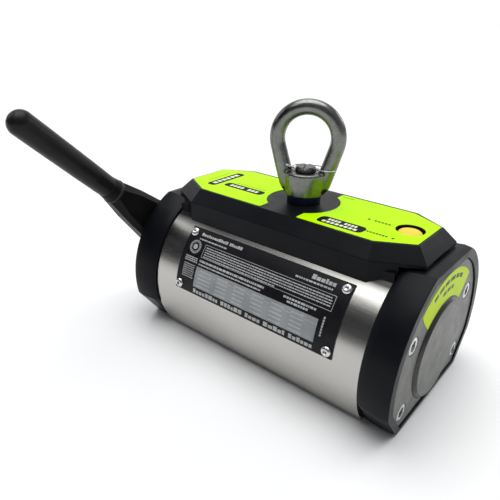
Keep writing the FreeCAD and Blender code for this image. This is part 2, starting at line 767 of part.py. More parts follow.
def eye_nut():
    """The forged eye: a ring on two leaning legs that grow out of a bored base."""
    lean = number("eye_lean")
    upright = Rotation(Vector(1, 0, 0), 90).multiply(Rotation(Vector(0, 0, 1), -lean))
    solids = [part_object("Torus", "eye_ring_part", ("0", "0", "eye_centre"), upright,
                          Radius1="eye_ring", Radius2="eye_stock", Angle3="180 + 2 * eye_lean")]
    for name, side in (("right", 1), ("left", -1)):
        solids.append(part_object(
            "Cylinder", "eye_leg_" + name,
            ("%d * eye_ring * cos(eye_lean)" % side, "0", "eye_centre - eye_ring * sin(eye_lean)"),
            Rotation(Vector(0, 1, 0), 180 + side * lean), Radius="eye_stock", Height="36"))
    bow = doc.addObject("Part::MultiFuse", "eye_bow")
    bow.Shapes = solids
    cone = part_object("Cone", "eye_toe_cone", ("0", "0", "eye_seat - 3"),
                       Radius1="eye_base - 2", Radius2="eye_base + 13", Height="18")
    block = part_object("Cylinder", "eye_toe_block", ("0", "0", "eye_seat - 10"), Radius="60", Height="23")
    toes = boolean("Cut", "eye_toes", bow, boolean("Cut", "eye_toe_cutter", block, cone))
    base = part_object("Cylinder", "eye_base_part", ("0", "0", "eye_seat"), Radius="eye_base",
                       Height="eye_shoulder - eye_seat")
    blank = boolean("Fuse", "eye_blank", toes, base)
    bore = part_object("Cylinder", "eye_bore", ("0", "0", "eye_seat - 10"), Radius="stud_radius + 0.1",
                       Height="eye_shoulder - eye_seat + 11")
    eye = boolean("Cut", "eye_nut", blank, bore)
    eye.Label = "eye_nut"
    place(eye, angle="eye_turn", axis=(0, 0, 1))
    return eye


WIRE_RADIUS = 0.6
# Route of the lock wire about the eye's own axes: x along the bow, y to the back.
WIRE_ROUTE = [
    (-14.5, -9.5, 158.6), (-12.2, -7.0, 157.4), (-10.4, -2.6, 155.0), (-8.6, 0.0, 154.2), (8.8, 0.0, 154.2),
    (13.0, -5.6, 155.0), (18.0, -8.0, 155.6), (24.8, -5.0, 155.4), (26.4, 1.5, 155.0), (23.0, 7.6, 154.8),
    (15.0, 9.0, 154.8), (6.5, 10.4, 154.6), (-2.5, 10.8, 154.6), (-8.4, 8.2, 155.8), (-11.4, 10.4, 158.0),
]


def wire_path(points, share=0.35):
    """Straight runs joined by tangent arcs through hand-chosen points."""
    points = [Vector(*p) for p in points]
    edges = []
    start = points[0]
    for before, corner, after in zip(points, points[1:], points[2:]):
        into = (corner - before).normalize()
        out = (after - corner).normalize()
        reach = share * min((corner - before).Length, (after - corner).Length)
        first, last = corner - into * reach, corner + out * reach
        half_turn = into.getAngle(out) / 2
        middle_way = (out - into).normalize()
        radius = reach / math.tan(half_turn)
        middle = corner + middle_way * (radius / math.cos(half_turn) - radius)
        edges.append(Part.LineSegment(start, first).toShape())
        edges.append(Part.Arc(first, middle, last).toShape())
        start = last
    edges.append(Part.LineSegment(start, points[-1]).toShape())
    return Part.Wire(edges)


def swept_round(path, start, direction, radius):
    section = Part.Wire(Part.makeCircle(radius, start, direction))
    return path.makePipeShell([section], True, False)


def lock_wire():
    wire = doc.addObject("Part::Feature", "lock_wire")
    wire.Label = "lock_wire"
    start = Vector(*WIRE_ROUTE[0])
    wire.Shape = swept_round(wire_path(WIRE_ROUTE), start, Vector(*WIRE_ROUTE[1]) - start, WIRE_RADIUS)
    place(wire, angle="eye_turn", axis=(0, 0, 1))
    return wire


# ---------------------------------------------------------------- data plate and end label


def data_plate():
    """The thin plate, rolled to the cover and drilled at its corners."""
    body = new_body("data_plate")
    sk = sketch(body, "YZ_Plane", "tag_left")
    ring_sector(sk, "shell_radius + 0.05", "shell_radius + 0.9", "90 + tag_start",
                "90 + tag_start + tag_sweep")
    pad(body, sk, "tag_right - tag_left")
    tag_screw_holes(body, "shell_radius + 5", "12", "2.05", "axis_z")
    return body


def data_plate_screws():
    """Four button-head screws at the data plate's corners."""
    body = new_body("data_plate_screws")
    for turn in TAG_SCREW_TURN:
        shank = radial_sketch(body, "shell_radius - 6", turn, "axis_z")
        head = radial_sketch(body, "shell_radius + 0.9", turn, "axis_z")
        for x in TAG_SCREW_X:
            circle(shank, "1.95", x)
            circle(head, "3.9", x)
        pad(body, shank, "7")
        pad(body, head, "2.3")
    for turn in TAG_SCREW_TURN:
        sockets = radial_sketch(body, "shell_radius + 3.2", turn, "axis_z")
        for x in TAG_SCREW_X:
            outline(sockets, hex_points(x, "0", "2.5"))
        pocket(body, sockets, "1.5")
    return body


def end_label():
    """The arched coloured label over the bearing disc."""
    body = new_body("end_label")
    sk = sketch(body, "YZ_Plane", "plate_out_x")
    ring_sector(sk, "disc_radius + 1.2", "62", "48", "132")
    pad(body, sk, "label_thick")
    return body


# ---------------------------------------------------------------- rotor


def rotor_pole(name, turn):
    """A segment of the rotor's steel, beside the magnet slab."""
    body = new_body(name)
    sk = sketch(body, "YZ_Plane", "-rotor_half")
    radius, chord = number("rotor_radius"), number("magnet_half + 0.05")
    angle = math.degrees(math.asin(chord / radius))
    half = math.sqrt(radius ** 2 - chord ** 2)
    rim = arc_between(sk, 0, radius, angle, 180 - angle)
    flat = line(sk, (-half, chord), (half, chord))
    join(sk, [(rim, 2, flat, 1), (flat, 2, rim, 1)])
    pin_point(sk, rim, 3, "0", "0")
    pin(sk, "Radius", (rim,), "rotor_radius")
    pin_point(sk, flat, 1, None, "magnet_half + 0.05")
    pin_point(sk, flat, 2, None, "magnet_half + 0.05")
    pad(body, sk, "2 * rotor_half")
    for end in (1, -1):
        taps = sketch(body, "YZ_Plane", "%d * rotor_half" % end)
        for side in (1, -1):
            circle(taps, "3.05", "%d * 16" % side, "20")
        pocket(body, taps, "17", backwards=end < 0)
    place(body, ("0", "0", "axis_z"), (1, 0, 0), turn)
    return body


def rotor_magnet():
    body = new_body("rotor_magnet")
    sk = sketch(body, "YZ_Plane", "-rotor_half")
    rectangle(sk, "-magnet_width / 2", "magnet_width / 2", "-magnet_half", "magnet_half")
    pad(body, sk, "2 * rotor_half")
    place(body, ("0", "0", "axis_z"))
    return body


def drill_flange(body, face_x, inwards):
    """Four counterbored holes for the screws that hold a flange to the rotor's steel."""
    shanks = sketch(body, "YZ_Plane", face_x)
    heads = sketch(body, "YZ_Plane", face_x)
    for y in (-16, 16):
        for z in (-20, 20):
            circle(shanks, "3.3", "%d * 1" % y, "%d * 1" % z)
            circle(heads, "5.2", "%d * 1" % y, "%d * 1" % z)
    pocket(body, heads, "3", backwards=inwards)
    pocket(body, shanks, "flange_thick", backwards=inwards)


def idle_journal():
    body = turned("rotor_journal_right", [
        ("rotor_half", "0"), ("116.4", "0"), ("116.4", "journal_radius"),
        ("rotor_half + flange_thick", "journal_radius"), ("rotor_half + flange_thick", "flange_wide"),
        ("rotor_half", "flange_wide")])
    drill_flange(body, "rotor_half + flange_thick", False)
    return body


def flange_left():
    body = turned("rotor_flange_left", [
        ("-rotor_half", "journal_radius - 4"), ("-rotor_half", "flange_wide"),
        ("-rotor_half - flange_thick", "flange_wide"), ("-rotor_half - flange_thick", "journal_radius - 4")])
    drill_flange(body, "-rotor_half - flange_thick", True)
    return body


def drive_shaft():
    """The lever's shaft: a spigot in the rotor's flange, a journal, a keyway and an end tapping."""
    body = turned("drive_shaft", [
        ("-rotor_half", "0"), ("-rotor_half", "journal_radius - 4.05"),
        ("-rotor_half - flange_thick - 0.05", "journal_radius - 4.05"),
        ("-rotor_half - flange_thick - 0.05", "journal_radius"),
        ("-149", "journal_radius"), ("-149", "0")], turn="lever_lean")
    keyway = sketch(body, "XY_Plane", "journal_radius + 1")
    rectangle(keyway, "-147.5", "-126.5", "-3", "3")
    pocket(body, keyway, "4.5")
    tapping = sketch(body, "YZ_Plane", "-149")
    circle(tapping, "4.05")
    pocket(body, tapping, "18", backwards=True)
    return body


def drive_key():
    body = new_body("drive_key")
    sk = sketch(body, "XY_Plane", "journal_radius - 3.4")
    rectangle(sk, "-147.3", "-126.7", "-2.95", "2.95")
    pad(body, sk, "5.9")
    place(body, ("0", "0", "axis_z"), (1, 0, 0), "lever_lean")
    return body


def rotor_screws():
    """Eight socket screws, four through each flange into the rotor's steel."""
    body = new_body("rotor_screws")
    for end in (1, -1):
        seat = "%d * (rotor_half + flange_thick - 2.95)" % end
        shanks = sketch(body, "YZ_Plane", seat)
        heads = sketch(body, "YZ_Plane", seat)
        for y in (-16, 16):
            for z in (-20, 20):
                circle(shanks, "2.95", "%d * 1" % y, "%d * 1" % z)
                circle(heads, "4.9", "%d * 1" % y, "%d * 1" % z)
        pad(body, shanks, "16", backwards=end > 0)
        pad(body, heads, "2.9", backwards=end < 0)
    place(body, ("0", "0", "axis_z"))
    return body


def retaining_washer():
    return turned("retaining_washer", [
        ("-149", "4.2"), ("-149", "17.5"), ("-152", "17.5"), ("-152", "4.2")])


def retaining_screw():
    body = turned("retaining_screw", [("-134", "0"), ("-134", "3.95"), ("-152", "3.95"), ("-152", "6.5"),
                                      ("-157", "6.5"), ("-157", "0")])
    socket = sketch(body, "YZ_Plane", "-157")
    outline(socket, hex_points("0", "0", "5"))
    pocket(body, socket, "3.5", backwards=True)
    return body


# ---------------------------------------------------------------- lever


def arm_section(body, z, half_thick, half_wide, bevel):
    """A bevelled rectangle across the arm, at a distance from the rotor axis."""
    sk = sketch(body, "XY_Plane", z)
    t, w, b = half_thick, half_wide, bevel
    signs = [(-1, -1), (1, -1), (1, 1), (-1, 1)]
    points = []
    for i, (sx, sy) in enumerate(signs):
        along = ("lever_x + %d * (%s - %s)" % (sx, t, b), "%d * %s" % (sy, w))
        across = ("lever_x + %d * %s" % (sx, t), "%d * (%s - %s)" % (sy, w, b))
        points += [across, along] if i % 2 == 0 else [along, across]
    outline(sk, points)
    return sk


def lever_arm():
    """The lever's casting: a hub that slides on the keyed shaft and an arm that narrows to a neck."""
    body = new_body("lever_arm")
    hub = sketch(body, "YZ_Plane", "hub_out_x")
    circle(hub, "hub_radius")
    pad(body, hub, "hub_in_x - hub_out_x")
    loft(body, [arm_section(body, "8", "9.6", "24", "3"), arm_section(body, "38", "10", "22.5", "3.5"),
                arm_section(body, "64", "10", "18.8", "4"), arm_section(body, "94", "10", "14.4", "4.5"),
                arm_section(body, "arm_end", "10.4", "10.4", "6")])
    bore = sketch(body, "YZ_Plane", "hub_out_x")
    circle(bore, "journal_radius + running_gap")
    pocket(body, bore, "hub_in_x - hub_out_x", backwards=True)
    recess = sketch(body, "YZ_Plane", "hub_out_x")
    circle(recess, "hub_recess")
    pocket(body, recess, "hub_recess_x - hub_out_x", backwards=True)
    keyway = sketch(body, "YZ_Plane", "hub_out_x")
    rectangle(keyway, "-3.25", "3.25", "journal_radius - 3", "journal_radius + 2.8")
    pocket(body, keyway, "hub_in_x - hub_out_x", backwards=True)
    socket = sketch(body, "XY_Plane", "arm_end")
    circle(socket, "rod_radius + 0.05", "lever_x", "0")
    pocket(body, socket, "arm_end - 72")
    stop = sketch(body, "YZ_Plane", "hub_in_x")
    circle(stop, "stop_radius + 0.03", "0", "stop_orbit")
    pocket(body, stop, "8")
    place(body, ("0", "0", "axis_z"), (1, 0, 0), "lever_lean")
    return body


def on_lever(body):
    """Stand a turned piece on the lever's own line."""
    body.Placement = Placement(Vector(0, 0, 0), Rotation(Vector(1, 0, 0), 10))
    body.setExpression("Placement.Rotation.Angle", named("lever_lean"))
    body.setExpression("Placement.Base.x", named("lever_x"))
    body.setExpression("Placement.Base.z", named("axis_z"))
    return body


def stop_pin():
    body = new_body("stop_pin")
    sk = sketch(body, "YZ_Plane", "hub_in_x - 7.8")
    circle(sk, "stop_radius", "0", "stop_orbit")
    pad(body, sk, "-plate_out_x + 3.4 - hub_in_x + 7.8")
    place(body, ("0", "0", "axis_z"), (1, 0, 0), "lever_lean")
    return body


def cross_hole(body):
    """The roll pin's hole, across the lever."""
    hole = sketch(body, "XZ_Plane", "-grip_radius - 2")
    circle(hole, "1.5", "0", "133")
    pocket(body, hole, "2 * grip_radius + 4", backwards=True)


def lever_rod():
    body = spun("lever_rod", [("0", "72.3"), ("rod_radius", "72.3"), ("rod_radius", "208"), ("0", "208")])
    cross_hole(body)
    return on_lever(body)


def neck_ring():
    return on_lever(spun("neck_ring", [("rod_radius + 0.05", "arm_end"), ("10.9", "arm_end"),
                                       ("10.9", "arm_end + 3"), ("rod_radius + 0.05", "arm_end + 3")]))


def ferrule():
    return on_lever(spun("ferrule", [("rod_radius + 0.05", "arm_end + 3"), ("10.3", "arm_end + 3"),
                                     ("9.5", "ferrule_end"), ("rod_radius + 0.05", "ferrule_end")]))


def grip():
    body = spun("grip", [("rod_radius + 0.05", "ferrule_end"), ("grip_radius - 0.3", "ferrule_end"),
                         ("grip_radius", "ferrule_end + 25"), ("grip_radius + 0.2", "grip_end - 20"),
                         ("grip_radius + 0.2", "grip_end"), ("0", "grip_end"), ("0", "208.5"),
                         ("rod_radius + 0.05", "208.5")])
    tip = number("grip_end")
    dress(body, "Fillet", "grip_radius - 0.4", lambda e: on_plane("Z", tip, e) and e.Length > 5)
    cross_hole(body)
    flat = sketch(body, "YZ_Plane", "grip_radius + 2")
    rectangle(flat, "-3.4", "3.4", "125.5", "140")
    pocket(body, flat, "2.6")
    return on_lever(body)


def roll_pin():
    body = new_body("roll_pin")
    sk = sketch(body, "XZ_Plane", "-grip_radius + 0.8")
    circle(sk, "1.48", "0", "133")
    pad(body, sk, "2 * grip_radius - 1.6")
    return on_lever(body)


def return_spring():
    """The coil spring that pushes the hub back against the index plate."""
    turns, per_turn, radius, wire_radius = 4, 16, 16.4, 0.7
    near, far = number("hub_recess_x") - 0.9, -148.1
    count = turns * per_turn
    route = [(far + (near - far) * i / count, radius * math.cos(2 * math.pi * i / per_turn),
              radius * math.sin(2 * math.pi * i / per_turn)) for i in range(count + 1)]
    spring = doc.addObject("Part::Feature", "return_spring")
    spring.Label = "return_spring"
    start = Vector(*route[0])
    spring.Shape = swept_round(wire_path(route, 0.45), start, Vector(*route[1]) - start, wire_radius)
    place(spring, ("0", "0", "axis_z"))
    return spring


# ---------------------------------------------------------------- assembly

parts = [
    pole_piece("pole_front", -1),
    pole_piece("pole_back", 1),
    spacer("spacer_bottom", "0", "12"),
    spacer("spacer_top", "80", "slot_floor"),
    cover_shell(),
    lifting_bar(),
    four_top_screws("lifting_bar_screws", "62", "14", "112.45", "6.5", "8", "3.95", "88"),
    top_housing(),
    four_top_screws("housing_screws", "36", "14", "125.65", "4", "2.3", "1.95", "112"),
    label_panel("label_left", -1),
    label_panel("label_right", 1),
    thread_plug(),
    eye_collar(),
    eye_stud(),
    eye_nut(),
    lock_wire(),
    data_plate(),
    data_plate_screws(),
    end_cap("end_cap_right"),
    end_gasket("end_gasket_right"),
    end_plate("end_plate_right", "disc_radius + 0.02"),
    end_label(),
    bearing_disc(),
    bush("bush_right", False),
    cap_screws("cap_screws_right"),
    end_cap("end_cap_left"),
    end_gasket("end_gasket_left"),
    lever_end_plate(),
    bush("bush_left", True),
    shaft_seal(),
    cap_screws("cap_screws_left"),
    rotor_pole("rotor_pole_upper", "0"),
    rotor_pole("rotor_pole_lower", "180"),
    rotor_magnet(),
    idle_journal(),
    flange_left(),
    drive_shaft(),
    drive_key(),
    rotor_screws(),
    retaining_washer(),
    retaining_screw(),
    lever_arm(),
    stop_pin(),
    lever_rod(),
    neck_ring(),
    ferrule(),
    grip(),
    roll_pin(),
    return_spring(),
]

LEFT_END = ("end_cap_left", "end_gasket_left", "index_plate_left", "cap_screws_left")
for item in parts:
    if item.Label in LEFT_END:
        place(item, axis=(0, 0, 1), angle="180")

doc.recompute()

problems = [o.Name for o in doc.Objects if "Invalid" in o.State or "Error" in o.State]
for item in parts:
    if item.Shape.isNull() or not item.Shape.isValid() or not item.Shape.Solids:
        problems.append(item.Label + " has no valid solid")
if problems:
    raise RuntimeError("; ".join(problems))

os.makedirs("parts", exist_ok=True)
for item in parts:
    item.Shape.exportStep("parts/%s.step" % item.Label)
print(len(parts), "parts written")
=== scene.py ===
import json
import math

import bmesh
import bpy
from mathutils import Euler, Matrix, Vector


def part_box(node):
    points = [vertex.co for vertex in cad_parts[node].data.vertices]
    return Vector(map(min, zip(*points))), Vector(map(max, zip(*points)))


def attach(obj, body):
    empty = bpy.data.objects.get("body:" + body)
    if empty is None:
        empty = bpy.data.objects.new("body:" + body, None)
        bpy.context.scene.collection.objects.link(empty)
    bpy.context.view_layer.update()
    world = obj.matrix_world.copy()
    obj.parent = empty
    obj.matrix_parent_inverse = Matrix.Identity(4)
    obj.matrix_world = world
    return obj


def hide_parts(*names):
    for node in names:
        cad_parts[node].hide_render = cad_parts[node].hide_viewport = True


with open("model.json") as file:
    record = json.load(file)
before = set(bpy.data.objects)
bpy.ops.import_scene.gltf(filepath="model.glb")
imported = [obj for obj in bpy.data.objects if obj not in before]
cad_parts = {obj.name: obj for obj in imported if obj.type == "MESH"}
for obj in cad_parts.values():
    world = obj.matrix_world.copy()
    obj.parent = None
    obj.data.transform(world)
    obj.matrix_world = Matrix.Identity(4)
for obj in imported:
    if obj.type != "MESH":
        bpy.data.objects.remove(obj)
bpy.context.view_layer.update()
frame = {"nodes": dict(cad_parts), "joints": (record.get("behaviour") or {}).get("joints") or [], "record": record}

# A hand-switched permanent lifting magnet.  Everything is in metres in the frame of the packed
# model: +X along the barrel to the closed end, the lever at -X, +Y to the back, +Z up.
# Shapes are worked out in millimetres and scaled once, when a mesh is made.

MM = 0.001

JOINTS = {joint["name"]: joint for joint in frame["joints"]}
MOUNTS = {mount["name"]: mount for mount in frame["record"]["mounts"]}
AXIS_Z = JOINTS["rotor_turn"]["pos_m"][2] / MM
EYE_ACROSS = Vector(MOUNTS["eye_opening"]["axis"])
EYE_TURN = math.atan2(-EYE_ACROSS.x, EYE_ACROSS.y)


def low(node):
    """Lowest corner of a CAD node, in millimetres."""
    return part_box(node)[0] / MM


def high(node):
    """Highest corner of a CAD node, in millimetres."""
    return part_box(node)[1] / MM


# ---------------------------------------------------------------- mesh building


def bake(name, bm, smooth=35.0):
    """Turn a bmesh drawn in millimetres into an object, smooth except at sharp edges."""
    bmesh.ops.recalc_face_normals(bm, faces=bm.faces)
    bmesh.ops.scale(bm, vec=(MM, MM, MM), verts=bm.verts)
    mesh = bpy.data.meshes.new(name)
    bm.to_mesh(mesh)
    bm.free()
    mesh.shade_smooth()
    mesh.set_sharp_from_angle(angle=math.radians(smooth))
    obj = bpy.data.objects.new(name, mesh)
    bpy.context.scene.collection.objects.link(obj)
    return obj


def apply_modifiers(obj, smooth=35.0):
    """Replace the mesh by its modified form."""
    graph = bpy.context.evaluated_depsgraph_get()
    mesh = bpy.data.meshes.new_from_object(obj.evaluated_get(graph))
    obj.modifiers.clear()
    obj.data = mesh
    mesh.shade_smooth()
    mesh.set_sharp_from_angle(angle=math.radians(smooth))
    return obj


def bevel(obj, width, segments=3, angle=30.0):
    """Round the edges sharper than an angle; the width is in millimetres."""
    mod = obj.modifiers.new("bevel", "BEVEL")
    mod.width = width * MM
    mod.segments = segments
    mod.limit_method = "ANGLE"
    mod.angle_limit = math.radians(angle)
    mod.use_clamp_overlap = True
    mod.harden_normals = False
    weighted = obj.modifiers.new("normals", "WEIGHTED_NORMAL")
    weighted.keep_sharp = True
    weighted.weight = 80
    return obj


def dress(obj, body, slot, material, *replaced):
    """Parent a piece to the body it moves with, give it its material and hide the CAD nodes it stands for."""
    obj.data.materials.clear()
    obj.data.materials.append(material)
    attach(obj, body)
    if replaced:
        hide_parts(*replaced)
    return obj


def softened(node, width, segments=3, angle=30.0):
    """A copy of a CAD node with its edges rounded off."""
    bm = bmesh.new()
    bm.from_mesh(frame["nodes"][node].data)
    bmesh.ops.remove_doubles(bm, verts=bm.verts, dist=2e-6)
    bmesh.ops.dissolve_limit(bm, angle_limit=math.radians(0.6), verts=bm.verts, edges=bm.edges,
                             delimit={"NORMAL"})
    bmesh.ops.scale(bm, vec=(1 / MM, 1 / MM, 1 / MM), verts=bm.verts)
    return bevel(bake(node + "_soft", bm, 40.0), width, segments, angle)


def add_rings(bm, rings):
    """Skin a list of equal rings of points and close the ends."""
    loops = [[bm.verts.new(point) for point in ring] for ring in rings]
    count = len(loops[0])
    for lower, upper in zip(loops, loops[1:]):
        for i in range(count):
            j = (i + 1) % count
            bm.faces.new((lower[i], lower[j], upper[j], upper[i]))
    bm.faces.new(list(reversed(loops[0])))
    bm.faces.new(loops[-1])


def rounded(points, steps=5):
    """Replace each (a, b, radius) corner of an open or closed outline by a smooth arc."""
    result = []
    count = len(points)
    for i, (a, b, radius) in enumerate(points):
        here = Vector((a, b))
        before = Vector(points[i - 1][:2]) - here
        after = Vector(points[(i + 1) % count][:2]) - here
        if radius <= 0 or before.length < 1e-9 or after.length < 1e-9:
            result.append(here)
            continue
        corner = before.angle(after)
        if corner > math.radians(179):
            result.append(here)
            continue
        reach = min(radius / math.tan(corner / 2), before.length * 0.49, after.length * 0.49)
        first, last = here + before.normalized() * reach, here + after.normalized() * reach
        for k in range(steps + 1):
            t = k / steps
            result.append(first * (1 - t) ** 2 + here * 2 * t * (1 - t) + last * t ** 2)
    return result


def lathe(name, profile, place):
    """Turn an open profile of (radius, height, rounding) points about a local Z axis."""
    bm = bmesh.new()
    segments = 96
    ends = [profile[0], profile[-1]]
    inner = rounded([(r, h, 0 if (r, h, c) in ends else c) for r, h, c in profile])
    rings = []
    for point in inner:
        radius, height = max(point.x, 1e-3), point.y
        rings.append([place @ Vector((radius * math.cos(a), radius * math.sin(a), height))
                      for a in (2 * math.pi * i / segments for i in range(segments))])
    add_rings(bm, rings)
    return bake(name, bm)


def hex_radius(angle, across):
    """Radius of a hexagon's side at an angle, from its width across flats."""
    turn = (angle % (math.pi / 3)) - math.pi / 6
    return across / 2 / math.cos(turn)


def socket_head(bm, place, rings, across, depth):
    """A round screw head from (radius, height) rings, top last, with a hexagon socket."""
    count = 48
    angles = [2 * math.pi * i / count for i in range(count)]
    loops = [[place @ Vector((r * math.cos(a), r * math.sin(a), h)) for a in angles] for r, h in rings]
    top = rings[-1][1]
    for extra, height in ((0.35, top - 0.02), (0.0, top - 0.35), (0.0, top - depth)):
        loops.append([place @ Vector(((hex_radius(a, across) + extra) * math.cos(a),
                                      (hex_radius(a, across) + extra) * math.sin(a), height))
                      for a in angles])
    loops.append([place @ Vector((0.05 * math.cos(a), 0.05 * math.sin(a), top - depth - across * 0.2))
                  for a in angles])
    add_rings(bm, loops)


def sweep(bm, points, radii, segments=32, up=Vector((0, 1, 0))):
    """A tube along points; each radius is a pair, in the plane of the path and across it."""
    rings = []
    for i, point in enumerate(points):
        ahead = points[min(i + 1, len(points) - 1)] - points[max(i - 1, 0)]
        ahead.normalize()
        side = (up - ahead * up.dot(ahead)).normalized()
        inward = side.cross(ahead)
        across, along = radii[i][1], radii[i][0]
        rings.append([point + inward * (along * math.cos(a)) + side * (across * math.sin(a))
                      for a in (2 * math.pi * k / segments for k in range(segments))])
    add_rings(bm, rings)


def flat_plate(bm, outline, place, bottom, top):
    """A thin plate from a flat outline; place turns each (x, y, height) into a point."""
    add_rings(bm, [[place(p[0], p[1], bottom) for p in outline],
                   [place(p[0], p[1], top) for p in outline]])


def box_outline(x_low, x_high, y_low, y_high, radius=0.0):
    """A rectangle with rounded corners."""
    return rounded([(x_low, y_low, radius), (x_high, y_low, radius),
                    (x_high, y_high, radius), (x_low, y_high, radius)], 4)


# ---------------------------------------------------------------- materials


class Shader:
    """A Principled material whose colour, roughness and relief come from procedural nodes."""

    def __init__(self, name, metallic=0.0, specular=0.5, anisotropy=0.0):
        self.material = bpy.data.materials.new(name)
        self.material.use_nodes = True
        self.tree = self.material.node_tree
        self.principled = self.tree.nodes["Principled BSDF"]
        self.principled.inputs["Metallic"].default_value = metallic
        self.principled.inputs["Specular IOR Level"].default_value = specular
        self.principled.inputs["Anisotropic"].default_value = anisotropy
        self.place = self.node("ShaderNodeTexCoord").outputs["Object"]
        self.normal = None

    def node(self, kind, **settings):
        """Add a node to the material and set its options."""
        made = self.tree.nodes.new(kind)
        for key, value in settings.items():
            setattr(made, key, value)
        return made

    def feed(self, socket, value):
        """Link an output to a socket, or set the socket to a number or colour."""
        if isinstance(value, bpy.types.NodeSocket):
            self.tree.links.new(value, socket)
        else:
            socket.default_value = value

    def math(self, operation, a, b=0.0):
        """The result of one Math node."""
        made = self.node("ShaderNodeMath", operation=operation)
        self.feed(made.inputs[0], a)
        self.feed(made.inputs[1], b)
        return made.outputs[0]

    def stretched(self, x, y, z):
        """Object coordinates scaled along each axis."""
        made = self.node("ShaderNodeVectorMath", operation="MULTIPLY")
        self.feed(made.inputs[0], self.place)
        made.inputs[1].default_value = (x, y, z)
        return made.outputs[0]

    def noise(self, scale, detail=3.0, roughness=0.55, vector=None):
        """Noise at so many cells a metre."""
        made = self.node("ShaderNodeTexNoise")
        self.feed(made.inputs["Vector"], vector if vector is not None else self.place)
        made.inputs["Scale"].default_value = scale
        made.inputs["Detail"].default_value = detail
        made.inputs["Roughness"].default_value = roughness
        return made.outputs["Fac"]

    def span(self, value, from_low, from_high, to_low, to_high):
        """Map a value from one range to another, clamped."""
        made = self.node("ShaderNodeMapRange")
        self.feed(made.inputs[0], value)
        for socket, number in zip(made.inputs[1:5], (from_low, from_high, to_low, to_high)):
            socket.default_value = number
        return made.outputs[0]

    def blend(self, factor, a, b):
        """Mix two colours."""
        made = self.node("ShaderNodeMix", data_type="RGBA")
        self.feed(made.inputs[0], factor)
        self.feed(made.inputs[6], a if isinstance(a, bpy.types.NodeSocket) else (*a, 1.0))
        self.feed(made.inputs[7], b if isinstance(b, bpy.types.NodeSocket) else (*b, 1.0))
        return made.outputs[2]

    def colour(self, value):
        """Set the base colour."""
        self.feed(self.principled.inputs["Base Color"], value)

    def roughness(self, value):
        """Set the roughness."""
        self.feed(self.principled.inputs["Roughness"], value)

    def relief(self, height, distance, strength=1.0):
        """Add one layer of fine relief; the distance is in millimetres."""
        made = self.node("ShaderNodeBump")
        made.inputs["Strength"].default_value = strength
        made.inputs["Distance"].default_value = distance * MM
        self.feed(made.inputs["Height"], height)
        if self.normal is not None:
            self.feed(made.inputs["Normal"], self.normal)
        self.normal = made.outputs[0]
        self.feed(self.principled.inputs["Normal"], self.normal)

    def edge_mask(self, radius):
        """1 on edges, 0 on open faces, from how far a rounded normal turns from the flat one."""
        rounding = self.node("ShaderNodeBevel", samples=4)
        rounding.inputs["Radius"].default_value = radius * MM
        flat = self.node("ShaderNodeNewGeometry").outputs["Normal"]
        dot = self.node("ShaderNodeVectorMath", operation="DOT_PRODUCT")
        self.feed(dot.inputs[0], rounding.outputs[0])
        self.feed(dot.inputs[1], flat)
        return self.span(dot.outputs["Value"], 0.90, 0.995, 1.0, 0.0)


def moulded_black():
    """Satin black moulding: fine grain, faint flow marks, scuffed edges, a little handling dust."""
    s = Shader("moulded_black", specular=0.10)
    cloudy = s.noise(22, 4)
    base = s.blend(s.span(cloudy, 0.35, 0.7, 0, 1), (0.0045, 0.0049, 0.0066), (0.0075, 0.0081, 0.0105))
    scuff = s.span(s.noise(1, 5, 0.7, s.stretched(35, 160, 160)), 0.60, 0.78, 0.0, 0.35)
    base = s.blend(scuff, base, (0.015, 0.016, 0.019))
    worn = s.math("MULTIPLY", s.edge_mask(0.7), s.span(s.noise(130, 5), 0.42, 0.65, 0, 0.55))
    s.colour(s.blend(worn, base, (0.045, 0.047, 0.053)))
    s.roughness(s.span(s.noise(60, 5), 0.3, 0.75, 0.27, 0.42))
    s.relief(s.noise(1500, 2), 0.05, 0.35)
    s.relief(s.noise(70, 3), 0.12, 0.25)
    return s.material


def brushed_cover():
    """Rolled stainless sheet brushed along the barrel, with painted shade darkening it to near black under the
    housing.
    """
    s = Shader("brushed_cover", metallic=1.0, anisotropy=0.55)
    tangent = s.node("ShaderNodeTangent", direction_type="RADIAL", axis="X")
    s.feed(s.principled.inputs["Tangent"], tangent.outputs[0])
    fine = s.noise(1, 4, 0.6, s.stretched(26, 2600, 2600))
    coarse = s.noise(1, 3, 0.6, s.stretched(9, 700, 700))
    cloud = s.noise(14, 3)
    tone = s.blend(s.span(coarse, 0.3, 0.7, 0, 1), (0.485, 0.477, 0.455), (0.515, 0.507, 0.483))
    tone = s.blend(s.span(cloud, 0.35, 0.7, 0.0, 0.5), tone, (0.45, 0.437, 0.405))
    # Painted shade: above about 100 mm the sheet turns near black, standing in for the housing's shadow and its
    # dark reflection in the sheet.
    split = s.node("ShaderNodeSeparateXYZ")
    s.feed(split.inputs[0], s.place)
    height = s.math("ADD", split.outputs[2], s.math("MULTIPLY", cloud, 0.003))
    s.colour(s.blend(s.span(height, 0.0995, 0.1045, 0.0, 0.96), tone, (0.012, 0.012, 0.011)))
    streak = s.math("MULTIPLY", s.span(fine, 0.3, 0.7, 0.0, 1.0), 0.04)
    s.roughness(s.math("ADD", s.span(coarse, 0.3, 0.7, 0.19, 0.22), streak))
    s.relief(fine, 0.001, 0.08)
    s.relief(coarse, 0.001, 0.05)
    return s.material


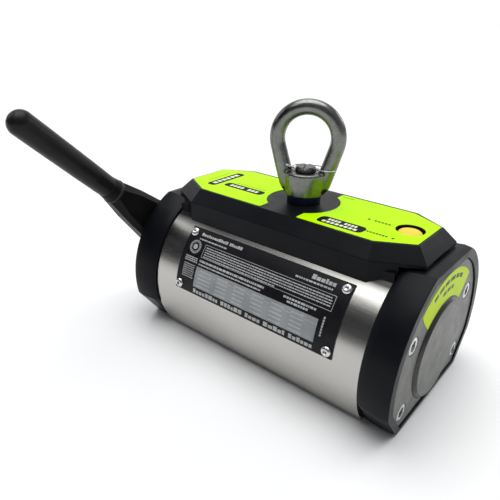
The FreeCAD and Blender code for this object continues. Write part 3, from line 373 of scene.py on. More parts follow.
def turned_gray():
    """Dark satin gray; round the barrel's axis the tool's fine rings show."""
    s = Shader("turned_gray", specular=0.3)
    split = s.node("ShaderNodeSeparateXYZ")
    s.feed(split.inputs[0], s.place)
    height = s.math("SUBTRACT", split.outputs[2], AXIS_Z * MM)
    radius = s.math("SQRT", s.math("ADD", s.math("POWER", split.outputs[1], 2.0),
                                   s.math("POWER", height, 2.0)))
    rings = s.noise(1, 2, 0.5, s.math("MULTIPLY", radius, 2400))
    wide = s.noise(1, 2, 0.5, s.math("MULTIPLY", radius, 260))
    tone = s.blend(s.span(wide, 0.3, 0.7, 0, 1), (0.145, 0.150, 0.138), (0.185, 0.190, 0.175))
    tone = s.blend(s.span(s.noise(45, 4), 0.4, 0.75, 0, 0.5), tone, (0.11, 0.114, 0.108))
    worn = s.math("MULTIPLY", s.edge_mask(0.5), s.span(s.noise(120, 4), 0.35, 0.6, 0, 0.7))
    s.colour(s.blend(worn, tone, (0.26, 0.265, 0.255)))
    s.roughness(s.span(s.noise(90, 4), 0.3, 0.7, 0.36, 0.5))
    s.relief(rings, 0.010, 0.4)
    s.relief(s.noise(1100, 2), 0.02, 0.25)
    return s.material


def printed_vinyl(name, bright, shade):
    """Printed label stock: even colour with slight ink mottling, orange peel and faint scratches."""
    s = Shader(name, specular=0.03)
    tone = s.blend(s.span(s.noise(50, 4), 0.35, 0.7, 0, 0.6), bright, shade)
    hair = s.span(s.noise(1, 4, 0.7, s.stretched(40, 900, 400)), 0.66, 0.74, 0.0, 0.25)
    s.colour(s.blend(hair, tone, shade))
    s.roughness(s.span(s.noise(160, 4), 0.3, 0.7, 0.28, 0.4))
    s.relief(s.noise(900, 2), 0.012, 0.3)
    return s.material


def forged_steel():
    """Galvanised forging: crystalline mottling, soft hammer marks, duller hollows."""
    s = Shader("forged_steel", metallic=1.0)
    spangle = s.node("ShaderNodeTexVoronoi", feature="F1")
    s.feed(spangle.inputs["Vector"], s.place)
    spangle.inputs["Scale"].default_value = 420
    bits = s.node("ShaderNodeSeparateColor")
    s.feed(bits.inputs[0], spangle.outputs["Color"])
    tone = s.blend(s.span(s.noise(60, 5), 0.3, 0.7, 0, 1), (0.145, 0.150, 0.136), (0.185, 0.190, 0.175))
    tone = s.blend(s.math("MULTIPLY", bits.outputs[0], 0.2), tone, (0.30, 0.31, 0.29))
    s.colour(s.blend(s.span(s.noise(170, 5, 0.7), 0.58, 0.72, 0, 0.3), tone, (0.10, 0.104, 0.096)))
    s.roughness(s.span(s.noise(230, 5), 0.3, 0.7, 0.2, 0.3))
    s.relief(s.noise(200, 2, 0.5), 0.05, 0.3)
    s.relief(s.noise(1400, 3), 0.02, 0.3)
    return s.material


def plated_steel(name, bright, dull, rough=(0.16, 0.3), streaks=None):
    """Plated or machined steel with handling marks; streaks gives the grain's direction."""
    s = Shader(name, metallic=1.0)
    tone = s.blend(s.span(s.noise(140, 5), 0.35, 0.7, 0, 1), bright, dull)
    worn = s.math("MULTIPLY", s.edge_mask(0.25), 0.5)
    s.colour(s.blend(worn, tone, (0.82, 0.82, 0.82)))
    s.roughness(s.span(s.noise(420, 4), 0.3, 0.7, *rough))
    grain = s.noise(1, 3, 0.6, s.stretched(*streaks)) if streaks else s.noise(1600, 3)
    s.relief(grain, 0.008, 0.35)
    return s.material


def powder_coat():
    """Black powder coat: pebbled relief, soft sheen, rubbed edges."""
    s = Shader("powder_coat", specular=0.10)
    base = s.blend(s.span(s.noise(40, 4), 0.35, 0.7, 0, 1), (0.0045, 0.0047, 0.005), (0.008, 0.0083, 0.009))
    worn = s.math("MULTIPLY", s.edge_mask(0.8), s.span(s.noise(90, 5), 0.45, 0.7, 0, 0.6))
    s.colour(s.blend(worn, base, (0.05, 0.05, 0.05)))
    s.roughness(s.span(s.noise(80, 4), 0.3, 0.7, 0.36, 0.52))
    s.relief(s.noise(620, 2), 0.07, 0.4)
    s.relief(s.noise(2200, 2), 0.02, 0.25)
    return s.material


def rubber(name, bright=(0.0055, 0.0055, 0.006), dusty=(0.011, 0.011, 0.011), rough=(0.30, 0.42),
           specular=0.2):
    """Matt rubber with dusty bloom and a fine stipple."""
    s = Shader(name, specular=specular)
    s.colour(s.blend(s.span(s.noise(55, 5, 0.65), 0.4, 0.75, 0, 1), bright, dusty))
    s.roughness(s.span(s.noise(90, 4), 0.3, 0.7, *rough))
    s.relief(s.noise(1300, 2), 0.04, 0.5)
    s.relief(s.noise(110, 3), 0.10, 0.25)
    return s.material


def satin_paint(name, bright, dark, rough=(0.25, 0.4), specular=0.15):
    """Satin black or coloured finish, paler where its edges are rubbed."""
    s = Shader(name, specular=specular)
    tone = s.blend(s.span(s.noise(70, 4), 0.35, 0.7, 0, 1), bright, dark)
    worn = s.math("MULTIPLY", s.edge_mask(0.3), s.span(s.noise(200, 4), 0.45, 0.65, 0, 0.5))
    s.colour(s.blend(worn, tone, [min(1.0, c * 1.8 + 0.05) for c in bright]))
    s.roughness(s.span(s.noise(180, 4), 0.3, 0.7, *rough))
    s.relief(s.noise(1000, 2), 0.015, 0.3)
    return s.material


MATERIAL = {
    "black_moulding": moulded_black(),
    "cover_steel": brushed_cover(),
    "end_gray": turned_gray(),
    "label_green": printed_vinyl("label_green", (0.50, 0.93, 0.0), (0.45, 0.86, 0.0)),
    "end_label_green": printed_vinyl("end_label_green", (0.60, 0.80, 0.03), (0.52, 0.71, 0.025)),
    "plug_yellow": satin_paint("plug_yellow", (1.0, 0.66, 0.07), (0.93, 0.58, 0.05), (0.3, 0.42)),
    "eye_steel": forged_steel(),
    "screw_steel": plated_steel("screw_steel", (0.72, 0.72, 0.71), (0.58, 0.58, 0.57)),
    "collar_black": satin_paint("collar_black", (0.010, 0.011, 0.035), (0.006, 0.007, 0.022), (0.2, 0.32)),
    "wire_steel": plated_steel("wire_steel", (0.75, 0.75, 0.74), (0.6, 0.6, 0.6), (0.2, 0.32)),
    "plate_black": satin_paint("plate_black", (0.012, 0.012, 0.014), (0.008, 0.008, 0.010), (0.26, 0.36)),
    "pole_steel": plated_steel("pole_steel", (0.46, 0.46, 0.45), (0.36, 0.36, 0.355), (0.26, 0.4),
                               (30, 1500, 1500)),
    "spacer_brass": plated_steel("spacer_brass", (0.78, 0.60, 0.30), (0.68, 0.50, 0.24), (0.24, 0.38),
                                 (30, 1500, 1500)),
    "bush_bronze": plated_steel("bush_bronze", (0.66, 0.46, 0.25), (0.55, 0.38, 0.2), (0.24, 0.36)),
    "magnet_nickel": plated_steel("magnet_nickel", (0.66, 0.64, 0.60), (0.58, 0.56, 0.53)),
    "journal_steel": plated_steel("journal_steel", (0.60, 0.60, 0.59), (0.5, 0.5, 0.49), (0.18, 0.3),
                                  (1600, 60, 60)),
    "neck_steel": satin_paint("neck_steel", (0.030, 0.031, 0.033), (0.018, 0.019, 0.020), (0.2, 0.3)),
    "stud_black": satin_paint("stud_black", (0.022, 0.023, 0.022), (0.014, 0.015, 0.014), (0.22, 0.34), 0.6),
    "lever_black": powder_coat(),
    "grip_rubber": rubber("grip_rubber"),
    "seal_rubber": rubber("seal_rubber", (0.02, 0.02, 0.02), (0.03, 0.03, 0.03), (0.5, 0.65), 0.1),
}
PRINT_SILVER = satin_paint("print_silver", (0.50, 0.51, 0.51), (0.36, 0.37, 0.375), (0.35, 0.5))
TABLE_SILVER = satin_paint("table_silver", (0.33, 0.345, 0.355), (0.25, 0.265, 0.275), (0.3, 0.42))
# Near black for the bearing disc's side wall: painted shade, standing in for the shadow and dark reflection that
# the wall shows.
DISC_WALL_SHADE = satin_paint("disc_wall_shade", (0.020, 0.020, 0.019), (0.012, 0.012, 0.012), (0.25, 0.35), 0.5)
PRINT_BLACK = satin_paint("print_black", (0.004, 0.0045, 0.004), (0.0025, 0.003, 0.0025), (0.3, 0.42), 0.03)
PRINT_PALE = satin_paint("print_pale", (0.80, 0.84, 0.66), (0.70, 0.76, 0.55), (0.3, 0.42))
PRINT_OLIVE = satin_paint("print_olive", (0.07, 0.11, 0.02), (0.05, 0.08, 0.015), (0.35, 0.5))

for entry in frame["record"]["subparts"]:
    cad = frame["nodes"][entry["node"]]
    cad.data.materials.clear()
    cad.data.materials.append(MATERIAL[entry["material_slot"]])


# ---------------------------------------------------------------- barrel ends and housing

for name, width in (("end_cap_right", 0.9), ("end_cap_left", 0.9)):
    dress(softened(name, width, 4, 24), "base", "black_moulding", MATERIAL["black_moulding"], name)

for name, width in (("end_plate_right", 0.4), ("index_plate_left", 0.4), ("bearing_disc", 0.5)):
    dress(softened(name, width, 3, 25), "base", "end_gray", MATERIAL["end_gray"], name)


disc = bpy.context.scene.objects["bearing_disc_soft"]
# The disc's side wall faces take the painted-shade material, and its flat end faces keep the turned gray.
disc.data.materials.append(DISC_WALL_SHADE)
for face in disc.data.polygons:
    face.material_index = 0 if abs(face.normal.x) > 0.93 else 1


def along_x(node_side, y, z, x):
    """Placement of a screw on an end face, its head facing outwards along X."""
    turn = Euler((0, math.radians(90 * node_side), 0)).to_matrix().to_4x4()
    return Matrix.Translation((x, y, z)) @ turn


def end_screws(node, side):
    """Four low-head socket screws in the counterbores of an end plate."""
    lo, hi = low(node), high(node)
    radius = 6.5
    face = hi.x if side > 0 else lo.x
    bm = bmesh.new()
    for y in (lo.y + radius, hi.y - radius):
        for z in (lo.z + radius, hi.z - radius):
            socket_head(bm, along_x(side, y, z, face),
                        [(3.9, -30), (3.9, -5), (radius, -5), (radius, -0.7), (radius - 0.15, -0.3),
                         (radius - 0.6, -0.05), (radius - 1.0, 0), (4.8, 0)], 7.2, 4.0)
    dress(bake(node + "_heads", bm), "base", "screw_steel", MATERIAL["screw_steel"], node)


end_screws("cap_screws_right", 1)
end_screws("cap_screws_left", -1)


LABEL_CENTRE_Z = AXIS_Z - 3.0


def ring_sector_outline(inner, outer, start, end, corner):
    """A rounded part of a flat ring; angles run from +Y towards +Z, in degrees."""
    points, steps = [], 28
    spread = math.degrees(corner / outer)
    for i in range(steps + 1):
        a = math.radians(start + spread + (end - start - 2 * spread) * i / steps)
        points.append((outer * math.cos(a), outer * math.sin(a)))
    spread = math.degrees(corner / inner)
    tail = []
    for i in range(steps + 1):
        a = math.radians(end - spread + (start - end + 2 * spread) * i / steps)
        tail.append((inner * math.cos(a), inner * math.sin(a)))
    left = math.radians(end)
    right = math.radians(start)
    mid = (inner + outer) / 2 + 0.2
    return (points + [(mid * math.cos(left), mid * math.sin(left))] + tail
            + [(mid * math.cos(right), mid * math.sin(right))])


def sector_plate(name, inner, outer, start, end, face, thick, corner=0.5):
    """A flat ring sector on the closed end's face."""
    bm = bmesh.new()
    outline = ring_sector_outline(inner, outer, start, end, corner)
    flat_plate(bm, outline, lambda y, z, x: Vector((x, y, z + LABEL_CENTRE_Z)), face, face + thick)
    return bake(name, bm)


label_face = low("end_label").x
label_top = high("end_label").x
END_LABEL = (43.2, 64.9, 48.0, 132.0)
dress(sector_plate("end_label_sheet", *END_LABEL, label_face, label_top - label_face),
      "base", "label_green", MATERIAL["end_label_green"], "end_label")

# Generic marks on the arched label: two bowed rows of blocks.
OUTER_MARKS = [(64, 71), (72.5, 79), (80.5, 90), (91.5, 99), (100.5, 108), (109.5, 116)]
INNER_MARKS = [(79, 85), (86.5, 93), (94.5, 101)]
for radius, tall, spans in ((57.0, 3.4, OUTER_MARKS), (50.0, 3.0, INNER_MARKS)):
    for number, (start, end) in enumerate(spans):
        mark = sector_plate("end_mark_%d_%d" % (radius, number), radius, radius + tall, start, end,
                            label_top - 0.02, 0.05, 0.3)
        dress(mark, "base", "label_green", PRINT_OLIVE)


# ---------------------------------------------------------------- top labels and plug

TOP = low("label_right").z
SHEET = high("label_right").z
CUT_RADIUS = 29.5
LABEL_EDGE = 34.7
LABEL_BACK = 33.3
LABEL_CORNER_X = 79.6
LABEL_END_X = high("label_right").x
LABEL_END_Y = 20.3
LABEL_START = 17.0
PLUG = (low("thread_plug") + high("thread_plug")) / 2


def label_outline(side):
    """A panel's outline: straight outer edges and an inner edge bowed round the eye."""
    reach = math.acos(LABEL_START / CUT_RADIUS)
    bow = [(CUT_RADIUS * math.cos(a), CUT_RADIUS * math.sin(a), 0)
           for a in (reach * (1 - 2 * i / 24) for i in range(25))]
    corners = [(LABEL_START, -LABEL_EDGE, 1.8), (LABEL_CORNER_X, -LABEL_EDGE, 1.5),
               (LABEL_END_X, -LABEL_END_Y, 1.5), (LABEL_END_X, LABEL_END_Y, 1.5),
               (LABEL_CORNER_X, LABEL_BACK, 1.5), (LABEL_START, LABEL_BACK, 1.8)]
    outline = rounded(corners + bow, 4)
    return [(side * p[0], p[1]) for p in outline]


def on_top(x, y, height):
    """The point at (x, y, height), for the sheets that lie on the top housing."""
    return Vector((x, y, height))


def punched(outline, centre, radius, name):
    """A flat sheet with one round hole, as a plate bridged between outline and hole."""
    bm = bmesh.new()
    rim = 64
    hole = [(centre.x + radius * math.cos(a), centre.y + radius * math.sin(a))
            for a in (2 * math.pi * i / rim for i in range(rim))]
    for height in (TOP, SHEET):
        edges = []
        for loop in (outline, hole):
            verts = [bm.verts.new((p[0], p[1], height)) for p in loop]
            edges += [bm.edges.new((a, b)) for a, b in zip(verts, verts[1:] + verts[:1])]
        bmesh.ops.triangle_fill(bm, use_beauty=True, edges=edges, use_dissolve=False)
    bm.verts.ensure_lookup_table()
    total = len(outline) + rim
    for first, count in ((0, len(outline)), (len(outline), rim)):
        for i in range(count):
            a, b = first + i, first + (i + 1) % count
            bm.faces.new((bm.verts[a], bm.verts[b], bm.verts[total + b], bm.verts[total + a]))
    return bake(name, bm)


dress(punched(label_outline(1), PLUG, 10.4, "label_right_sheet"), "base", "label_green",
      MATERIAL["label_green"], "label_right")
sheet = bmesh.new()
flat_plate(sheet, label_outline(-1), on_top, TOP, SHEET)
dress(bake("label_left_sheet", sheet), "base", "label_green", MATERIAL["label_green"], "label_left")


def top_mark(bm, x_low, x_high, y_low, y_high, radius, layer=0):
    """One block of print on the green panels; layer 1 lies on layer 0."""
    bottom = SHEET - 0.02 + layer * 0.04
    flat_plate(bm, box_outline(x_low, x_high, y_low, y_high, radius), on_top, bottom, bottom + 0.06)


def letters(bm, x_low, x_high, y_low, y_high, words, layer=0, along_y=False):
    """Short even blocks grouped into words, standing in for print."""
    cells = sum(words) + len(words) - 1
    low_end, high_end = (y_low, y_high) if along_y else (x_low, x_high)
    cell = (high_end - low_end) / cells
    at = low_end
    for word in words:
        for _ in range(word):
            first, last = at + cell * 0.10, at + cell * 0.84
            if along_y:
                top_mark(bm, x_low, x_high, first, last, 0.2, layer)
            else:
                top_mark(bm, first, last, y_low, y_high, 0.2, layer)
            at += cell
        at += cell


black_marks, pale_marks = bmesh.new(), bmesh.new()
top_mark(black_marks, 30.5, 67.5, -30.2, -17.6, 4.6)
letters(pale_marks, 37, 61, -23.2, -20.0, (4, 4), 1)
letters(pale_marks, 34.5, 63.5, -28.2, -25.0, (8,), 1)
top_mark(black_marks, -74, -33, -15.4, -6.0, 3.9)
letters(pale_marks, -69, -38, -12.8, -8.8, (4, 3), 1)
top_mark(black_marks, -69, -36, -3.3, -2.7, 0.2)
top_mark(black_marks, -87.6, -78.4, -22, 20.5, 3.9)
letters(pale_marks, -85.2, -81.0, -17.5, 16, (6,), 1, along_y=True)
top_mark(black_marks, -93, -92.4, -12.5, 12.7, 0.2)
letters(black_marks, 66, 89.5, -23.6, -21.6, (8, 1))
letters(black_marks, 58, 77, -2.4, -0.3, (1, 5))
letters(black_marks, 19.8, 30.5, 28.3, 29.3, (6,))
dress(bake("top_marks", black_marks), "base", "label_green", PRINT_BLACK)
dress(bake("top_marks_pale", pale_marks), "base", "label_green", PRINT_PALE)

plug_place = Matrix.Translation((PLUG.x, PLUG.y, 0))
plug_top = high("thread_plug").z
dress(lathe("thread_plug_dome", [
    (0, plug_top - 13, 0), (5.9, plug_top - 13, 0.3), (5.9, plug_top - 6, 0.2), (8.7, plug_top - 6, 0.3),
    (8.7, plug_top - 1.6, 1.5), (7.0, plug_top - 0.35, 2.0), (3.0, plug_top, 2.0), (0, plug_top, 0)],
    plug_place), "base", "plug_yellow", MATERIAL["plug_yellow"], "thread_plug")


# ---------------------------------------------------------------- lifting eye

EYE = Matrix.Rotation(EYE_TURN, 4, "Z")
SEAT = low("eye_nut").z
EYE_TOP = high("eye_nut").z
STOCK = 6.0
RING = 23.4
RING_Z = EYE_TOP - RING - STOCK
LEAN = math.radians(16)
BASE_RADIUS = 14.4
BORE = 8.35
LEG = 37.0
BASE_TOP = SEAT + 17.5


def eye_forging():
    """The ring, its two spreading legs and the bored base, melted into one forging."""
    bm = bmesh.new()
    path, radii = [], []
    for side in (1, -1):
        run = []
        foot = Vector((side * RING * math.cos(LEAN), 0, RING_Z - RING * math.sin(LEAN)))
        way = Vector((-side * math.sin(LEAN), 0, -math.cos(LEAN)))
        for i in range(1, 17):
            t = i / 16
            swell = 0.55 * math.sin(math.pi * min(1.0, t * 1.1)) * t
            thin = 1.0 - 0.4 * max(0.0, (t - 0.8) / 0.2) ** 2
            run.append((foot + way * (LEG * t), ((STOCK + swell) * thin, (STOCK + 0.9 * t) * thin)))
        if side > 0:
            run.reverse()
            path = [p for p, r in run]
            radii = [r for p, r in run]
            for i in range(57):
                a = -LEAN + (math.pi + 2 * LEAN) * i / 56
                path.append(Vector((RING * math.cos(a), 0, RING_Z + RING * math.sin(a))))
                radii.append((STOCK, STOCK))
        else:
            path += [p for p, r in run]
            radii += [r for p, r in run]
    sweep(bm, path, radii, 40)
    profile = rounded([(1e-3, SEAT - 4, 0), (BASE_RADIUS, SEAT - 4, 0), (BASE_RADIUS, SEAT + 1.4, 0.8),
                       (BASE_RADIUS + 0.5, BASE_TOP, 1.0), (1e-3, BASE_TOP, 0)], 5)
    rings = []
    for p in profile:
        level = min(1.0, max(0.0, (p.y - SEAT) / (BASE_TOP - SEAT)))
        spread = 1.05 + 0.08 * math.sin(math.pi * min(level, 0.5))
        ring = []
        for i in range(72):
            c, n = math.cos(2 * math.pi * i / 72), math.sin(2 * math.pi * i / 72)
            ring.append(Vector((spread * max(p.x, 1e-3) * c, max(p.x, 1e-3) * n, p.y)))
        rings.append(ring)
    add_rings(bm, rings)
    eye = bake("eye_forging", bm)
    remesh = eye.modifiers.new("melt", "REMESH")
    remesh.mode = "VOXEL"
    remesh.voxel_size = 0.62 * MM
    apply_modifiers(eye)
    foot = eye.vertex_groups.new(name="foot")
    for vertex in eye.data.vertices:
        weight = (BASE_TOP + 7 - vertex.co.z / MM) / 6.0
        foot.add([vertex.index], min(1.0, max(0.0, weight)), "REPLACE")
    for rounds, group in ((7, ""), (22, "foot")):
        smooth = eye.modifiers.new("smooth", "SMOOTH")
        smooth.factor = 0.5
        smooth.iterations = rounds
        smooth.vertex_group = group
    apply_modifiers(eye)

    cutters = bmesh.new()
    add_rings(cutters, [[Vector((BORE * math.cos(a), BORE * math.sin(a), z))
                         for a in (2 * math.pi * i / 64 for i in range(64))]
                        for z in (SEAT - 5, BASE_TOP + 5)])
    bore = bake("eye_bore", cutters)
    below = bmesh.new()
    add_rings(below, [[Vector((60 * math.cos(a), 60 * math.sin(a), z))
                       for a in (2 * math.pi * i / 16 for i in range(16))] for z in (SEAT - 12, SEAT + 0.02)])
    floor = bake("eye_trim", below)
    for tool in (bore, floor):
        cut = eye.modifiers.new("cut", "BOOLEAN")
        cut.operation = "DIFFERENCE"
        cut.object = tool
        cut.solver = "EXACT"
        apply_modifiers(eye, 40)
        bpy.data.objects.remove(tool)
    eye.data.transform(EYE)
    return eye


dress(eye_forging(), "base", "eye_steel", MATERIAL["eye_steel"], "eye_nut")
dress(softened("eye_collar", 0.6, 3, 25), "base", "collar_black", MATERIAL["collar_black"], "eye_collar")
dress(softened("eye_stud", 0.35, 3, 25), "base", "stud_black", MATERIAL["stud_black"], "eye_stud")

STUD_TOP = high("eye_stud").z
WIRE_RADIUS = 0.52
# Round the stud's cross hole and one leg of the eye; x along the bow, y to the back, z from the stud's top.
WIRE_TAIL = [(-10.2, -1.0, -1.6), (-11.4, -3.2, -0.6), (-12.6, -5.6, 0.6), (-14.0, -8.0, 1.9)]
WIRE_LOOP = [(-10.2, -1.0, -1.6), (-8.4, 0.0, -2.3), (0.0, 0.0, -2.3),
             (8.6, 0.0, -2.3), (12.4, -5.6, -1.6), (16.6, -8.0, -0.9), (21.6, -5.4, -1.0), (23.2, 0.6, -1.4),
             (20.6, 6.8, -1.6), (14.0, 8.8, -1.7), (6.5, 10.6, -1.9), (-2.5, 10.6, -1.8), (-9.0, 6.0, -1.4),
             (-10.4, 1.6, -1.4), (-11.2, -2.0, -1.0)]


def smooth_path(points):
    """A Catmull-Rom curve through the points."""
    result, steps = [], 8
    for i in range(len(points) - 1):
        p0, p1 = points[max(i - 1, 0)], points[i]
        p2, p3 = points[i + 1], points[min(i + 2, len(points) - 1)]
        for k in range(steps):
            t = k / steps
            result.append(0.5 * (2 * p1 + (p2 - p0) * t + (2 * p0 - 5 * p1 + 4 * p2 - p3) * t ** 2
                                 + (3 * p1 - p0 - 3 * p2 + p3) * t ** 3))
    result.append(points[-1])
    return result


def lock_wire():
    """One drawn wire round the loop, its two ends laid round each other."""
    bm = bmesh.new()
    centre = smooth_path([EYE @ Vector((x, y, STUD_TOP + z)) for x, y, z in WIRE_LOOP])
    sweep(bm, centre, [(WIRE_RADIUS, WIRE_RADIUS)] * len(centre), 12, Vector((0.1, 0.2, 1)))
    tail = smooth_path([EYE @ Vector((x, y, STUD_TOP + z)) for x, y, z in WIRE_TAIL])
    for start in (0.0, math.pi):
        strand, length = [], 0.0
        for i, point in enumerate(tail):
            ahead = (tail[min(i + 1, len(tail) - 1)] - tail[max(i - 1, 0)]).normalized()
            length += (point - tail[i - 1]).length if i else 0.0
            side = ahead.cross(Vector((0, 0, 1))).normalized()
            upward = side.cross(ahead)
            turn = start + length * 1.1
            strand.append(point + (side * math.cos(turn) + upward * math.sin(turn)) * WIRE_RADIUS)
        sweep(bm, strand, [(WIRE_RADIUS, WIRE_RADIUS)] * len(strand), 12, Vector((0.1, 0.2, 1)))
    return bake("lock_wire_loop", bm)


dress(lock_wire(), "base", "wire_steel", MATERIAL["wire_steel"], "lock_wire")


# ---------------------------------------------------------------- data plate

PLATE_LOW, PLATE_HIGH = low("data_plate").x, high("data_plate").x
SKIN = 73.4
TURN_TOP, TURN_BOTTOM = 41.5, 84.5
PLATE_TALL = math.radians(TURN_BOTTOM - TURN_TOP) * SKIN
PRINT_HEIGHT = 0.04


def on_plate(x, y, height):
    """x from the plate's left edge, y up from its lower edge, both measured on the curved face."""
    turn = math.radians(TURN_BOTTOM) - y / SKIN
    radius = SKIN + height
    return Vector((PLATE_LOW + x, -radius * math.sin(turn), AXIS_Z + radius * math.cos(turn)))


def plate_strip(bm, x_low, x_high, y_low, y_high, height=PRINT_HEIGHT):
    """One raised print block, split into strips round the curve."""
    rows = max(1, int(round((y_high - y_low) / 1.6)))
    rings = []
    for row in range(rows + 1):
        y = y_low + (y_high - y_low) * row / rows
        rings.append([on_plate(x_low, y, -0.1), on_plate(x_high, y, -0.1),
                      on_plate(x_high, y, height), on_plate(x_low, y, height)])
    add_rings(bm, rings)


def plate_frame(bm, x_low, x_high, y_low, y_high, line):
    """A thin rectangular frame on the data plate."""
    plate_strip(bm, x_low, x_high, y_low, y_low + line)
    plate_strip(bm, x_low, x_high, y_high - line, y_high)
    plate_strip(bm, x_low, x_low + line, y_low, y_high)
    plate_strip(bm, x_high - line, x_high, y_low, y_high)


def word_row(bm, x_low, x_high, y_low, tall, seed, gap=0.55, longest=5.5, height=PRINT_HEIGHT):
    """A row of blocks of uneven lengths, standing in for a line of print."""
    at, step = x_low, seed
    while at < x_high - 0.6:
        step = (step * 37 + 11) % 101
        size = 0.8 + (longest - 0.8) * step / 100
        end = min(at + size, x_high)
        plate_strip(bm, at, end, y_low, y_low + tall, height)
        at = end + gap


def letter_row(bm, x_low, x_high, y_low, tall, words, seed=5):
    """Blocks of uneven width and height grouped into words, standing in for bold print."""
    runs, step = [], seed
    for word in words:
        run = []
        for letter in range(word):
            step = (step * 37 + 11) % 101
            run.append((0.62 + 0.5 * step / 100, 1.0 if letter == 0 or step % 3 == 0 else 0.74))
        runs.append(run)
    cell = (x_high - x_low) / (sum(size for run in runs for size, part in run) + 0.6 * (len(runs) - 1))
    at = x_low
    for run in runs:
        for size, part in run:
            plate_strip(bm, at + cell * 0.12, at + cell * (size - 0.06), y_low, y_low + tall * part)
            at += cell * size
        at += cell * 0.6


def plate_ring(bm, x, y, inner, outer, start=0.0, end=360.0):
    """A ring or part of one on the plate."""
    steps = max(6, int((end - start) / 10))
    rings = []
    for i in range(steps + 1):
        a = math.radians(start + (end - start) * i / steps)
        c, s = math.cos(a), math.sin(a)
        rings.append([on_plate(x + inner * c, y + inner * s, -0.1),
                      on_plate(x + outer * c, y + outer * s, -0.1),
                      on_plate(x + outer * c, y + outer * s, PRINT_HEIGHT),
                      on_plate(x + inner * c, y + inner * s, PRINT_HEIGHT)])
    add_rings(bm, rings)


def plate_print():
    """Silver print on the plate: a heading, an emblem ring, framed rows, a table and a bold footer."""
    silver, table = bmesh.new(), bmesh.new()
    wide = PLATE_HIGH - PLATE_LOW
    tall = PLATE_TALL
    # Heading at the upper left and rating at the upper right.
    letter_row(silver, 12, 56, tall - 6.0, 2.5, (13, 6))
    word_row(silver, 12, 42, tall - 9.6, 1.1, 3, 0.6, 3)
    letter_row(silver, wide - 33, wide - 13, tall - 6.6, 3.6, (6,))
    word_row(silver, wide - 45, wide - 14, tall - 9.6, 1.3, 29, 0.6, 3)
    # Emblem: a ring of short marks with a plain disc in it, and narrow rows below.
    for i in range(24):
        plate_ring(silver, 11.5, tall - 16.5, 4.6, 5.8, i * 15, i * 15 + 9)
    plate_ring(silver, 11.5, tall - 16.5, 3.9, 4.2)
    plate_ring(silver, 11.5, tall - 16.5, 0.2, 2.2)
    for row in range(3):
        word_row(silver, 5, 19, tall - 26.0 - row * 1.6, 0.9, 5 + row * 13, 0.4, 3)
    for row in range(7):
        word_row(silver, 5.5, 18, tall - 32.2 - row * 1.75, 0.75, 9 + row * 7, 0.4, 2.2)
    # Framed block of small print.
    top = tall - 12
    plate_frame(silver, 21, wide - 9, top - 11.2, top, 0.32)
    for row in range(5):
        end = wide - 11 if row != 4 else 96
        word_row(silver, 23, end, top - 2.7 - row * 1.95, 0.85, 21 + row * 17, 0.45, 4)
    # Two bolder rows, then the table.
    word_row(silver, 21, 88, tall - 27.0, 1.7, 41, 0.6, 5)
    word_row(silver, 21, 86, tall - 29.6, 1.1, 55, 0.5, 4)
    word_row(silver, wide - 48, wide - 20, tall - 26.6, 1.5, 31, 0.6, 4)
    word_row(silver, wide - 44, wide - 26, tall - 29.2, 1.5, 67, 0.6, 4)
    plate_strip(table, 20, wide - 16, tall - 48.4, tall - 31.2)
    for row in range(5):
        y = tall - 34.2 - row * 3.2
        for column, x in enumerate((24, 44, 62, 80, 98, 116)):
            word_row(silver, x, x + (11 if column else 14), y, 0.9, 13 + row * 11 + column * 5, 0.4, 4, 0.08)
    plate_strip(silver, 20, wide - 16, tall - 35.3, tall - 35.1, 0.08)
    # Bold footer and the small upright row at the right.
    letter_row(silver, 20, wide - 16, 1.8, 3.4, (8, 6, 4, 5, 6), 47)
    for step in range(7):
        plate_strip(silver, wide - 12.6, wide - 11.3, 13 + step * 2.1, 14.5 + step * 2.1)
    dress(bake("plate_print", silver), "base", "plate_black", PRINT_SILVER)
    dress(bake("plate_table", table), "base", "plate_black", TABLE_SILVER)


dress(softened("data_plate", 0.22, 2, 40), "base", "plate_black", MATERIAL["plate_black"], "data_plate")
plate_print()


def radial(x, turn, radius):
    """Placement on the cover, facing outwards; the turn runs from the top to the front, in degrees."""
    spin = Matrix.Rotation(math.radians(turn), 4, "X")
    return Matrix.Translation((x, 0, AXIS_Z)) @ spin @ Matrix.Translation((0, 0, radius))


def plate_screws():
    """Button-head screws at the data plate's corners, proud of it on thin rims."""
    bm = bmesh.new()
    for x in (PLATE_LOW + 4.6, PLATE_HIGH - 4.6):
        for turn in (TURN_TOP + 3.8, TURN_BOTTOM - 3.8):
            socket_head(bm, radial(x, turn, SKIN + 2.3),
                        [(1.9, -8), (1.9, -2.25), (3.85, -2.25), (3.9, -1.7), (3.75, -1.15), (3.3, -0.6),
                         (2.7, -0.2), (2.1, 0.0), (1.85, 0.0)], 2.5, 1.4)
    dress(bake("data_plate_screw_heads", bm), "base", "screw_steel", MATERIAL["screw_steel"],
          "data_plate_screws")


plate_screws()


# ---------------------------------------------------------------- lever

dress(softened("lever_arm", 1.8, 4, 20), "lever", "lever_black", MATERIAL["lever_black"], "lever_arm")
dress(softened("ferrule", 0.5, 3, 25), "lever", "lever_black", MATERIAL["lever_black"], "ferrule")
dress(softened("neck_ring", 0.9, 4, 25), "lever", "neck_steel", MATERIAL["neck_steel"], "neck_ring")
dress(softened("grip", 0.35, 3, 25), "lever", "grip_rubber", MATERIAL["grip_rubber"], "grip")
dress(softened("retaining_washer", 0.4, 3, 30), "rotor", "screw_steel", MATERIAL["screw_steel"],
      "retaining_washer")
dress(softened("retaining_screw", 0.35, 3, 30), "rotor", "screw_steel", MATERIAL["screw_steel"],
      "retaining_screw")


# ---------------------------------------------------------------- floor, light, camera


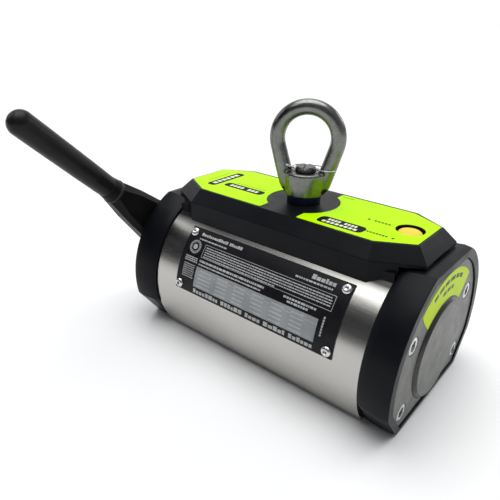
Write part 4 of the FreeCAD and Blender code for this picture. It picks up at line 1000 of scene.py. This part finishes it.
def stage_floor():
    """A wide pale floor."""
    bm = bmesh.new()
    bmesh.ops.create_grid(bm, x_segments=8, y_segments=8, size=60000)
    bmesh.ops.translate(bm, vec=(0, 0, -0.02), verts=bm.verts)
    floor = bake("floor", bm)
    s = Shader("floor", specular=0.1)
    s.colour(s.blend(s.span(s.noise(6, 4), 0.3, 0.7, 0, 1), (0.90, 0.90, 0.90), (0.87, 0.87, 0.87)))
    s.roughness(0.8)
    floor.data.materials.append(s.material)


def area_light(name, place, aim, width, height, power):
    """A rectangular lamp at a place, turned towards its aim."""
    lamp = bpy.data.lights.new(name, "AREA")
    lamp.shape = "RECTANGLE"
    lamp.size, lamp.size_y = width, height
    lamp.energy = power
    obj = bpy.data.objects.new(name, lamp)
    obj.location = place
    obj.rotation_euler = (Vector(aim) - Vector(place)).to_track_quat("-Z", "Y").to_euler()
    bpy.context.scene.collection.objects.link(obj)


def studio():
    """Soft light from above, a white far side and a dim quarter in front that gives metal its contrast."""
    world = bpy.data.worlds.new("studio")
    bpy.context.scene.world = world
    world.use_nodes = True
    tree = world.node_tree
    facing = tree.nodes.new("ShaderNodeTexCoord").outputs["Generated"]
    colour = None
    for way, start, full, tint in (((-0.50, -0.80, 0.14), 0.52, 0.88, (0.012, 0.013, 0.017, 1)),
                                   ((0.75, -0.65, 0.10), 0.60, 0.97, (0.16, 0.16, 0.17, 1)),
                                   ((-0.62, 0.78, 0.05), 0.55, 0.90, (1.05, 1.05, 1.05, 1))):
        dot = tree.nodes.new("ShaderNodeVectorMath")
        dot.operation = "DOT_PRODUCT"
        dot.inputs[1].default_value = Vector(way).normalized()
        tree.links.new(facing, dot.inputs[0])
        lobe = tree.nodes.new("ShaderNodeMapRange")
        lobe.interpolation_type = "SMOOTHSTEP"
        lobe.inputs[1].default_value, lobe.inputs[2].default_value = start, full
        tree.links.new(dot.outputs["Value"], lobe.inputs[0])
        mix = tree.nodes.new("ShaderNodeMix")
        mix.data_type = "RGBA"
        mix.inputs[6].default_value = (0.36, 0.37, 0.39, 1)
        if colour:
            tree.links.new(colour, mix.inputs[6])
        mix.inputs[7].default_value = tint
        tree.links.new(lobe.outputs[0], mix.inputs[0])
        colour = mix.outputs[2]
    tree.links.new(colour, tree.nodes["Background"].inputs[0])
    sun = bpy.data.lights.new("soft_overhead", "SUN")
    sun.energy = 2.5
    sun.angle = math.radians(60)
    lamp = bpy.data.objects.new("soft_overhead", sun)
    lamp.rotation_euler = Vector((0.10, -0.04, -1)).to_track_quat("-Z", "Y").to_euler()
    bpy.context.scene.collection.objects.link(lamp)
    area_light("softbox", (-0.28, -0.56, 0.93), (0.06, 0, 0.08), 0.26, 0.26, 0.5)
    area_light("side", (-0.85, -0.35, 0.6), (-0.25, -0.1, 0.2), 0.4, 0.4, 0.45)
    area_light("rim", (0.5, 1.1, 0.7), (0.02, 0, 0.1), 0.5, 0.5, 2.2)


def camera():
    """The camera at the reference view: its place, turn and lens."""
    data = bpy.data.cameras.new("camera")
    data.lens = 36.33
    data.clip_start, data.clip_end = 0.01, 50
    obj = bpy.data.objects.new("camera", data)
    obj.location = (0.21259, -0.32271, 0.26306)
    obj.rotation_euler = [math.radians(a) for a in (64.882, -1.147, 40.157)]
    bpy.context.scene.collection.objects.link(obj)
    bpy.context.scene.camera = obj


stage_floor()
studio()
camera()
bpy.context.scene.view_settings.view_transform = "Standard"
